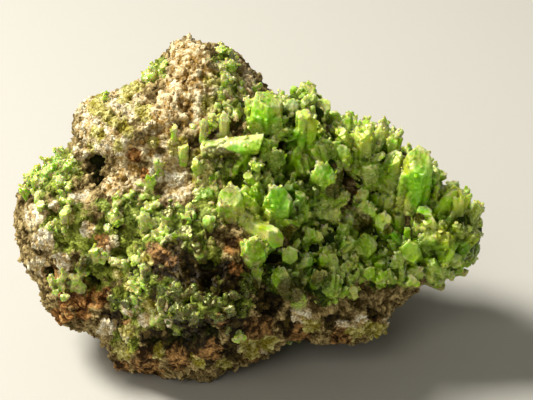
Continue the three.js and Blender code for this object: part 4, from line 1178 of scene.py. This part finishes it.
def planting_tree():
    tree, add, given = new_tree("planting", Collection=["Forms"], Material=["Material"])
    width, length, pick, turn, tone = (
        add(NUMBER, {"Name": name}) for name in ("width", "length", "form", "turn", "shade"))
    axis = add(NUMBER, {"Name": "axis"}, data_type="FLOAT_VECTOR")
    scale = add("ShaderNodeCombineXYZ", [width, width, length])
    return stand(tree, given["Geometry"], given["Forms"], pick, axis, turn, scale, tone, given["Material"])


def planted(node, rows, seed):
    """The roots of one crust's stout crystals, as loose vertices that carry each crystal's sizes."""
    rnd = random.Random(seed)
    points, axes, facts = [], [], []
    for across, up, lean, width, length, form, tone in rows:
        hit = smooth_rock.ray_cast(place(across, up, BEYOND), -OUT)[0]
        axis = direction(*lean).normalized()
        points.append(hit - axis * STOUT_ROOT * MM)
        axes.append(axis)
        if form == PRISM and rnd.random() < STEPPED_SHARE:
            form = STEPPED + rnd.randrange(STEPPED_FORMS)
            width *= STEPPED_EXTRA
        facts.append((width * MM, (length + STOUT_ROOT) * MM, rnd.uniform(0, math.pi), form, tone))
    mesh = bpy.data.meshes.new(node + "_roots")
    mesh.from_pydata(points, [], [])
    for fact, values in zip(("width", "length", "turn", "form", "shade"), zip(*facts)):
        store(mesh, fact, values)
    axis_data = mesh.attributes.new("axis", "FLOAT_VECTOR", "POINT").data
    axis_data.foreach_set("vector", np.array(axes, np.float32).ravel())
    return mesh


planting = planting_tree()
stout_meshes = {}
for seed, (node, rows) in enumerate(STOUT.items()):
    roots = link("roots", planted(node, rows, seed))
    stout_meshes[node] = grown(roots, planting, {"Forms": stout_forms, "Material": pyromorphite_finish})
    bpy.data.objects.remove(roots)
print("stout crystals' faces:", {node: len(mesh.polygons) for node, mesh in stout_meshes.items()})

# %% [markdown]
# ## The druse
# Between the stout crystals the crust is a dense druse: bundles of half a millimetre to three and a half,
# the largest where the crust is coarse. Crystals that grew together have no seams between them, so a
# crust's crystals are fused: a voxel remesh, which wraps one new skin around them all, also gives the
# edges the slight roundness of etched crystal. A Boolean union would keep the edges sharp, but it is slow
# and fragile on thousands of overlapping solids. The skin takes tone and axis from the nearest point of
# the crystals that it was wrapped around, and measures the rest.

# %% Sowing on a surface
END_REACH = 1.6  # mm from the crust's solid to the end of a crystal
BOX_MARGIN = Vector((0.5, 0.4, 0.3)) * MM  # around the solid model's box


def sown(surface, mask, zone, forms, node, reach=END_REACH, **sizes):
    """Crystals grown on a thing's surface, where both its mask and its zone are above nothing."""
    values = {
        "Mask": mask, "Zone": zone, "Forms": forms, "Form Count": len(forms.objects),
        "Material": pyromorphite_finish, "Solid": frame["nodes"][node], "Reach": reach * MM,
        "Box Middle": (cad_box[0] + cad_box[1]) / 2,
        "Box Reach": (cad_box[1] - cad_box[0]) / 2 + BOX_MARGIN,
    }
    values.update((name.replace("_", " ").title(), value) for name, value in sizes.items())
    shape = surface.data
    mesh = grown(surface, sowing, values)
    surface.data = shape
    return mesh


def triangles(piece):
    piece.data.calc_loop_triangles()
    return len(piece.data.loop_triangles)


print("a crystal ends within", END_REACH, "mm of its crust's solid")

# %% One skin
NEAREST = "GeometryNodeSampleNearestSurface"
BLUR = "GeometryNodeBlurAttribute"
EDGE_BLUR = 8  # steps: a vertex is compared with its neighbourhood's mean


def measuring_tree():
    """Keeps each vertex's tone and axis, how far it faces up, its height, and how far it stands out."""
    tree, add, given = new_tree("measuring", Object=["Crystals", "Rock"], Material=["Material"])
    crystals, rock_mesh = (add("GeometryNodeObjectInfo", {"Object": given[name]}, "Geometry")
                           for name in ("Crystals", "Rock"))
    position, normal = add("GeometryNodeInputPosition"), add("GeometryNodeInputNormal")
    tone, axis = (
        add(NEAREST, {"Mesh": crystals, "Value": add(NUMBER, {"Name": name}, data_type=kind)}, data_type=kind)
        for name, kind in (("tone", "FLOAT"), ("axis", "FLOAT_VECTOR")))
    foot, rock_normal = (
        add(NEAREST, {"Mesh": rock_mesh, "Value": value}, data_type="FLOAT_VECTOR")
        for value in (position, normal))
    around = add(BLUR, {"Value": position, "Iterations": EDGE_BLUR, "Weight": 1.0}, data_type="FLOAT_VECTOR")
    upward = add(VECTOR, [normal, tuple(UP)], "Value", operation="DOT_PRODUCT")
    upward = add(BLUR, {"Value": upward, "Iterations": 1, "Weight": 1.0}, data_type="FLOAT")
    measures = {"tone": tone, "axis": axis, "upward": upward}
    for name, start, way in (("height", foot, rock_normal), ("edge", around, normal)):
        off = add(VECTOR, [position, start], operation="SUBTRACT")
        off = add(VECTOR, [off, way], "Value", operation="DOT_PRODUCT")
        measures[name] = add("MULTIPLY", [off, 1 / MM])
    out = given["Geometry"]
    for name, value in measures.items():
        kind = "FLOAT_VECTOR" if name == "axis" else "FLOAT"
        out = add(STORED, {"Geometry": out, "Name": name, "Value": value}, data_type=kind)
    return end_tree(tree, out, given["Material"])


measuring = measuring_tree()


def joined(name, meshes):
    """One object from several meshes. The first of them becomes the mesh of them all."""
    parts = [link(name, mesh) for mesh in meshes]
    if len(parts) > 1:
        with bpy.context.temp_override(active_object=parts[0], selected_editable_objects=parts):
            bpy.ops.object.join()
    return parts[0]


def fused(name, meshes, voxel, adaptivity):
    """One skin around all the crystals. Flat stretches of it are thinned out by the adaptivity."""
    crystals = joined(name + "_loose", meshes)
    skin = link(name, crystals.data.copy())
    remesh = skin.modifiers.new("fuse", "REMESH")
    remesh.mode = "VOXEL"
    remesh.voxel_size = voxel * MM
    remesh.adaptivity = adaptivity
    skin.data = applied(skin)
    skin.data = grown(skin, measuring, {"Crystals": crystals, "Rock": rock, "Material": pyromorphite_finish})
    bpy.data.objects.remove(crystals)
    return skin


print("measuring tree nodes:", len(measuring.nodes))

# %% [markdown]
# The crystals' colour differs from place to place too, and discs paint it as they painted the rock: clear
# green ones where they are fresh, yellower ones at the rims, dull olive ones low on the front and in
# hollows, which is painted shade over their own duller colour, and a pale, sugary haze over most of the
# left half.

# %% Places of the crystals' colours
SHADY = [  # crystals darkened to dull olive, low on the front and in hollows of the bowl: painted shade over their own duller colour
    [14.5, -1.6, 1.7], [10.5, 2.4, 1.3], [-11.4, -9.4, 2.2], [-8.6, -11.4, 3.5], [-5.3, -10.5, 3.6],
    [-1.3, -9.9, 3], [1.3, -10.5, 2.4], [5.3, -9.9, 2.4], [-16.4, -11.8, 2.1], [-10.5, -15.8, 2.4],
    [-4.6, -15.1, 2.6], [-21.1, -6.6, 1.6], [9.2, -8.6, 1.8], [-1.3, -11.8, 2.6], [-9.2, -5, 2.4],
    [-8.3, -2, 1.2], [-11.5, -17, 2.4], [-3.5, 7, 1.2], [-4.4, 6.8, 1.7], [-2.6, 6.4, 1.5],
    [12.1, 3.7, 1.6], [5.3, -2.8, 1.5], [8.2, 2.6, 1.2], [10.8, -4.5, 1.2], [-8.5, -8.5, 2.6],
    [-5.2, -7.2, 1.8], [-14.5, -14.5, 2], [-2, -14, 2], [-6.5, -4.2, 1.6], [-9.2, -6, 2], [-12.2, -6, 1.6],
    [-15.4, 0.4, 1.3], [-6.2, -15.4, 2], [-7.6, -13, 1.6], [-9.4, -15.6, 1.8], [-4.2, -15.6, 1.6],
    [-10.8, -7.6, 1.8], [-6.8, -9.6, 2], [-3, -12.6, 2], [0.6, -12.8, 1.8], [-9, -6.6, 1.8],
    [-12, -8.2, 1.6], [-2.4, -8, 1.5], [-10.2, 0.2, 1.4], [-6, -2.9, 1.4], [6.9, 3.6, 1.2],
    [17.8, -2.4, 0.9], [21.6, -1, 0.9],
]
HAZY = [  # crystals under a pale, sugary film
    [2, 5.5, 2.6], [9.9, -0.7, 2.6], [12.8, 2.6, 1.2], [12.8, -0.7, 1.2], [15.1, 4.3, 1.8], [19.7, 0, 1.7],
    [11.8, -6.2, 2.9], [22.8, -8.4, 1.8], [19.1, -6.8, 1.7], [28.6, -1.6, 2.1], [29.2, 1.3, 1.3],
    [12.5, 10.1, 1.3], [6.6, -2.9, 1.3], [25, -7.6, 1.3], [-11.8, -2, 2.6], [-7.9, 0.7, 1.8],
    [-25, 2.6, 1.8], [-21.1, 1.3, 1.6], [-2.9, 10.5, 1.6], [6.6, -11.8, 1.8], [-2.6, 18.4, 1.6],
    [-13.2, -0.7, 2.1], [-5.3, -2, 1.8], [-2, 15.1, 1.6], [-23, 3.9, 1.8], [6.8, 10.5, 1.2],
    [9.5, 12.2, 1.5], [9.2, 8, 1], [-3.2, 11.5, 2.2], [17.8, 1.4, 1.6], [-1.2, -1, 1.8], [-8.5, 7.8, 2],
    [4.4, -8, 1.4], [6.5, 12.5, 2], [10, 11.5, 2], [13.5, 9.5, 1.6], [1, 14, 1.6], [-2.9, 9.7, 1.6],
    [0.5, 9.9, 1.6], [9.7, 8.4, 1.4], [12.9, 9.7, 1.8], [-6, 6.4, 1.6], [-6, 3.4, 1.8], [0.4, -2.8, 1.4],
    [9.7, -3.2, 1.8], [12.9, -8.8, 1.8], [22.4, -2.9, 1.6], [19.2, 0.6, 1.6], [-12.4, -12.2, 1.6],
    [4, 10.5, 1.2], [15.5, 7.4, 1.4], [17.4, 9.8, 1.4], [8, 13.4, 1.6], [3.4, 13.8, 1.2], [-20.6, 9.8, 1.4],
    [-1.4, 12.6, 1.4], [18.8, 7.4, 1.4],
]
CRYSTAL_PLACES = {
    "dense": DENSE,
    "green": [  # crystals of the clearest green
        [2.5, 12.1, 2.6], [5.9, 8.6, 2], [9.9, 5, 1.6], [21.6, 3.9, 2.5], [21.6, 0.7, 1.8], [4.6, 1.1, 2.6],
        [17.1, 9.2, 1.8], [18.7, -3.4, 1.7], [27.1, -4.7, 1.3], [2.9, -5.3, 1.7], [7.2, -6.8, 1.6],
        [-2, 7.9, 1.8], [1.6, 12.9, 1.8], [-5.9, -0.7, 1.6], [-5.3, 2.6, 1.3], [-25, 5.5, 2.6],
    ],
    "hazy": HAZY,
    "yellow": [  # yellow-green crystals
        [27.9, -0.7, 2.9], [25, -2.9, 2], [17.8, -0.4, 1.4], [1.1, -1.1, 2.1], [15.1, 7.9, 1.6],
        [0, 14.7, 1.1], [26.3, 2.6, 1.4], [-23, -0.7, 1.6], [-9.2, 7.9, 1.8], [-3.3, 12.5, 1.8],
        [8.5, 11.5, 2.4], [-1.2, -1.2, 2], [11.5, 10.5, 1.6], [5, 13, 1.6], [13.5, 8.8, 1.6],
        [16.5, 9.5, 1.8], [19.5, 5.8, 1.6], [-2.9, 9.7, 1.8], [0.5, 9.9, 1.6], [12.9, 9.7, 1.6],
        [-6.2, 6.4, 1.6], [-6, 3.6, 1.6], [0.6, -2.6, 1.8], [9.9, -3, 1.6], [19.2, 0.6, 1.6],
        [22.4, -2.7, 1.4], [28.7, -2.9, 2.2], [12.9, -6, 1.6], [9.2, 12.4, 1.6], [28.4, -1.6, 1.8],
        [4.4, 12.8, 1.6], [-1.4, 12.6, 1.6], [14.6, 5.2, 1.3],
    ],
    "shady": SHADY,
}
HAZE_OFF_DRUSE = 0.55  # on all the crystals outside the dense druse
SHADE_CLEARS = 0.8  # the share of the haze, and of the sugar, that shady crystals lack


def paint_crystals(mesh):
    where = vertex_places(mesh)
    covers = {name: painted(where, discs) for name, discs in CRYSTAL_PLACES.items()}
    haze = np.maximum(covers["hazy"], HAZE_OFF_DRUSE * (1 - covers["dense"]))
    covers["hazy"] = haze * (1 - SHADE_CLEARS * covers["shady"])
    for name, cover in covers.items():
        store(mesh, name, cover)


print("discs:", {name: len(discs) for name, discs in CRYSTAL_PLACES.items()})

# %% [markdown]
# The widest of the stout crystals stand clear of the druse, so nothing of the first sowing goes under
# them. A second sowing of small crystals fills what is left of the bowl. The main crust is made in four
# pieces, so that none of them is too heavy. On each piece, sugar of under half a millimetre is sown where
# it settles on real crystals: on rims that face up, on hazy places, and thinly on the rest.

# %% Beds for the druse
STANDS_CLEAR = 2.2  # mm: the width from which a stout crystal is kept clear
CLEAR_UP_TO = 23.5  # mm across: beyond it, at the tip, the druse closes round them all
CLEAR_AT = (0.3, 0.6, 0.9)  # of the way from its root to its end
CLEAR_WIDTH = 0.7  # of its width

FIRST = {  # zone: spacing, smallest and largest width in mm, and slenderness, of its sowings
    "coarse": [(1.5, 2.0, 3.6, 1.1)],
    "dense": [(0.95, 1.05, 2.3, 1.2), (0.6, 0.5, 1.1, 0.8)],
    "patchy": [(0.62, 0.6, 1.5, 0.9)],
    "far": [(2.4, 1.6, 3.4, 1.4), (1.1, 0.7, 1.6, 1.2)],
}
clear_of = []
for row_across, row_up, way, width, length, *_ in [row for rows in STOUT.values() for row in rows]:
    way = Vector(way).normalized() * length
    if width >= STANDS_CLEAR and row_across < CLEAR_UP_TO:
        for part in CLEAR_AT:
            clear_of.append([row_across + way.x * part, row_up + way.y * part, CLEAR_WIDTH * width])
rock_places = vertex_places(rock.data)
beside = 1 - painted(rock_places, clear_of)
for zone in FIRST:
    store(rock.data, zone + "_bed", numbers(rock.data, zone) * beside)
print("stout crystals that stand clear:", len(clear_of) // len(CLEAR_AT))

# %% Druse and sugar
FAR = 99  # mm, past every crystal
PARTS = {  # piece: the crust that it belongs to, and the range of it that it covers, in mm across
    "main_druse_left": ("main_druse", -FAR, 3.5), "main_druse_middle": ("main_druse", 3.5, 12),
    "main_druse_right": ("main_druse", 12, 20), "main_druse_tip": ("main_druse", 20, FAR),
    **{node: (node, -FAR, FAR) for node in CRUSTS if node != "main_druse"},
}
DRUSE_VOXEL, DRUSE_ADAPTIVITY = 0.14, 0.3  # the first in mm
DRUSE = {
    "spread": 0.75, "lift": 1.0, "tone": 0.45, "variety": 0.18, "sunk": 0.5 * MM, "roundness": 0.6,
    "patch_size": 4 * MM, "patchiness": 0.4, "following": 0.0,
}
SUGAR_REACH = 2.4  # mm from the crust's solid
SUGAR_GRAINS = {
    "spacing": 0.32 * MM, "smallest": 0.2 * MM, "largest": 0.6 * MM, "slenderness": 1.0, "spread": 0.7,
    "lift": 0.5, "tone": 0.7, "variety": 0.2, "sunk": 0.12 * MM, "roundness": 0.6, "patch_size": 2.2 * MM,
    "patchiness": 0.9, "following": 0.7,
}
SUGAR_SEEDS = 400
TOUCHING = 0.25 * MM
SUGAR_ABOVE = (0.1, 0.6)  # mm above the rock where sugar starts, and where there is all of it
RIM_STANDS_OUT = (0.03, 0.12)  # mm
OFF_DENSE, ON_DENSE, ON_RIMS = 0.5, 0.25, 0.6  # how densely sugar covers them
TOUCHING_CLEARS = 0.6  # the share of the sugar that a skin close to its crystals lacks


def touching(mesh, other):
    """1 for each vertex that lies on another mesh, and 0 for the rest."""
    surface = surface_of(other)
    return np.array([surface.find_nearest(v.co, TOUCHING)[0] is not None for v in mesh.vertices], float)


def sugared(mesh, crystals):
    """Where sugar settles on a fused skin. It is thinner where the skin lies close on its crystals."""
    where = vertex_places(mesh)
    dense, hazy, shady = (painted(where, discs) for discs in (DENSE, HAZY, SHADY))
    clean = TOUCHING_CLEARS * touching(mesh, crystals) if crystals else 0
    cover = OFF_DENSE * (1 - dense) + dense * (ON_DENSE + (1 - ON_DENSE) * hazy)
    cover = cover * (1 - clean) * (1 - SHADE_CLEARS * shady)
    rims = soft_step(*RIM_STANDS_OUT, numbers(mesh, "edge")) * soft_step(0, 0.6, numbers(mesh, "upward"))
    above_rock = soft_step(*SUGAR_ABOVE, numbers(mesh, "height"))
    return np.sqrt(above_rock * np.maximum(cover, ON_RIMS * rims))


sugar = []
for seed, (name, (node, low, high)) in enumerate(PARTS.items()):
    in_range = (rock_places[:, 0] >= low) & (rock_places[:, 0] < high)
    store(rock.data, name + "_part", masks[node] * in_range)
    loose = [stout_meshes[name]] if name in stout_meshes else []
    for zone, sowings in FIRST.items():
        for step, (spacing, smallest, largest, slenderness) in enumerate(sowings):
            loose.append(sown(
                rock, name + "_part", zone if step else zone + "_bed", druse_forms, node,
                spacing=spacing * MM, smallest=smallest * MM, largest=largest * MM,
                slenderness=slenderness, seed=20 * seed + 10 * step, **DRUSE))
    loose = [mesh for mesh in loose if len(mesh.polygons)]
    piece = fused(name + "_crystals", loose, DRUSE_VOXEL, DRUSE_ADAPTIVITY)
    store(piece.data, "frosted", sugared(piece.data, stout_meshes.get(name)))
    sugar.append(sown(
        piece, "frosted", "frosted", sugar_forms, node, SUGAR_REACH, seed=SUGAR_SEEDS + seed, **SUGAR_GRAINS))
    piece.data.shade_flat()
    paint_crystals(piece.data)
    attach(piece, "root")
    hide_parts(node)
    print(piece.name, triangles(piece), "triangles")

# %% [markdown]
# ## Crumbs and glaze
# Bare gossan sheds crumbs. Angular grains, sown with the same tree, break up the rock's smooth outline;
# they are kept off the crusts, thin out towards the back, and stop short of the resting face. Between the
# crusts a thin green glaze covers much of the left half: low, wide crystals, fused like the druse, that
# barely rise from the rock.

# %% Crumbs
CRUST_KEEPS_OFF = 1.5  # times its mask
OFF_FLOOR = (0.8, 1.6)  # mm above the floor where grains start, and where they are as dense as anywhere
BACK_SHARE, BACK_FADE = 0.35, (-6, 0)  # of the front's crumbs, and mm towards the viewer where it fades in

store(rock.data, "everywhere", np.ones(len(rock.data.vertices)))
bare = np.clip(1 - CRUST_KEEPS_OFF * numbers(rock.data, "druse"), 0, 1)
front = soft_step(*BACK_FADE, rock_places[:, 2])
off_floor = soft_step(*OFF_FLOOR, np.array([v.co.z for v in rock.data.vertices]) / MM)
store(rock.data, "bare", bare * (BACK_SHARE + (1 - BACK_SHARE) * front) * off_floor)
crumbs = link("crumbs", sown(
    rock, "bare", "everywhere", crumb_forms, "matrix", spacing=0.58 * MM, smallest=0.25 * MM,
    largest=1.0 * MM, slenderness=1.0, spread=1.0, lift=0.2, tone=0.5, variety=0.2, sunk=0.05 * MM,
    roundness=0.6, patch_size=4 * MM, patchiness=0.5, following=0.0, seed=7))
crumbs.data.materials.clear()
crumbs.data.materials.append(gossan_finish)
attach(crumbs, "root")
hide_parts("matrix")
print(crumbs.name, triangles(crumbs), "triangles")

# %% Glaze
GLAZE_VOXEL, GLAZE_ADAPTIVITY = 0.16, 0.4  # the first in mm
GLAZE_SPREAD = 1.6  # times the glassy places' cover, up to whole
GLAZE_SUGAR_ABOVE = (0.1, 0.5)  # mm above the rock

glassy = np.maximum(stains_and_shade["glassy"], zones["patchy"])
store(rock.data, "glazed", bare * np.minimum(1, GLAZE_SPREAD * glassy) * off_floor)
glaze = fused("glaze_crystals", [sown(
    rock, "glazed", "everywhere", druse_forms, "matrix", spacing=0.75 * MM, smallest=0.9 * MM,
    largest=2.3 * MM, slenderness=0.35, spread=0.4, lift=0.2, tone=0.25, variety=0.1, sunk=0.35 * MM,
    roundness=0.6, patch_size=2.6 * MM, patchiness=0.6, following=0.0, seed=17)],
    GLAZE_VOXEL, GLAZE_ADAPTIVITY)
above_rock = soft_step(*GLAZE_SUGAR_ABOVE, numbers(glaze.data, "height"))
store(glaze.data, "frosted", above_rock * (1 - SHADE_CLEARS * painted(vertex_places(glaze.data), SHADY)))
sugar.append(sown(
    glaze, "frosted", "frosted", sugar_forms, "matrix", SUGAR_REACH, spacing=0.4 * MM,
    smallest=0.25 * MM, largest=0.7 * MM, slenderness=1.0, spread=0.6, lift=0.3, tone=0.6, variety=0.15,
    sunk=0.12 * MM, roundness=0.6, patch_size=2 * MM, patchiness=0.8, following=0.0, seed=500))
glaze.data.shade_flat()
paint_crystals(glaze.data)
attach(glaze, "root")
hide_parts("main_druse")
print(glaze.name, triangles(glaze), "triangles")

# %% [markdown]
# ## Frost
# All the sugar grains are one piece. They stay loose, because a real sugary crust is loose too, and its
# grains are too small to remesh. The grains have no height or facing of their own, so the material is
# told that they are well clear of the rock and half turned up.

# %% Frost
GRAIN_HEIGHT, GRAIN_UPWARD = 2.2, 0.6  # mm above the rock, so no painted root shade reaches them, and the share that faces up, for the painted light on tops

frost = joined("frost_grains", [mesh for mesh in sugar if len(mesh.polygons)])
store(frost.data, "height", np.full(len(frost.data.vertices), GRAIN_HEIGHT))
store(frost.data, "upward", np.full(len(frost.data.vertices), GRAIN_UPWARD))
paint_crystals(frost.data)
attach(frost, "root")
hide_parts("main_druse")
print(frost.name, triangles(frost), "triangles")

# %% [markdown]
# ## Last checks
# The specimen stands on the floor, so no crystal or grain may reach below it. Those few vertices are
# raised. Then the helpers go: the forms that the trees picked from, and the trees, whose work is now
# plain mesh.

# %% Off the floor
FLOOR_GAP = 0.02  # mm

for piece in bpy.data.objects:
    if piece.type == "MESH" and piece.data.attributes.get("height"):
        co = coordinates(piece.data)
        low = co[:, 2].min() / MM
        co[:, 2] = np.maximum(co[:, 2], FLOOR_GAP * MM)
        piece.data.vertices.foreach_set("co", co.ravel())
        if low < FLOOR_GAP:
            print(piece.name, "reached", round(low, 2), "mm; raised to the floor")

# %% Putting the helpers away
for group in FAMILIES:
    for helper in list(group.objects):
        bpy.data.objects.remove(helper)
    bpy.data.collections.remove(group)
for tree in (weathering, sowing, planting, measuring):
    bpy.data.node_groups.remove(tree)

sizes = {"cad": [list(c) for c in cad_box], "visual": [list(c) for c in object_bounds()]}
growth = [[round((v - c) * 1000, 2) for v, c in zip(*pair)] for pair in zip(sizes["visual"], sizes["cad"])]
print("box grows by, mm:", growth)
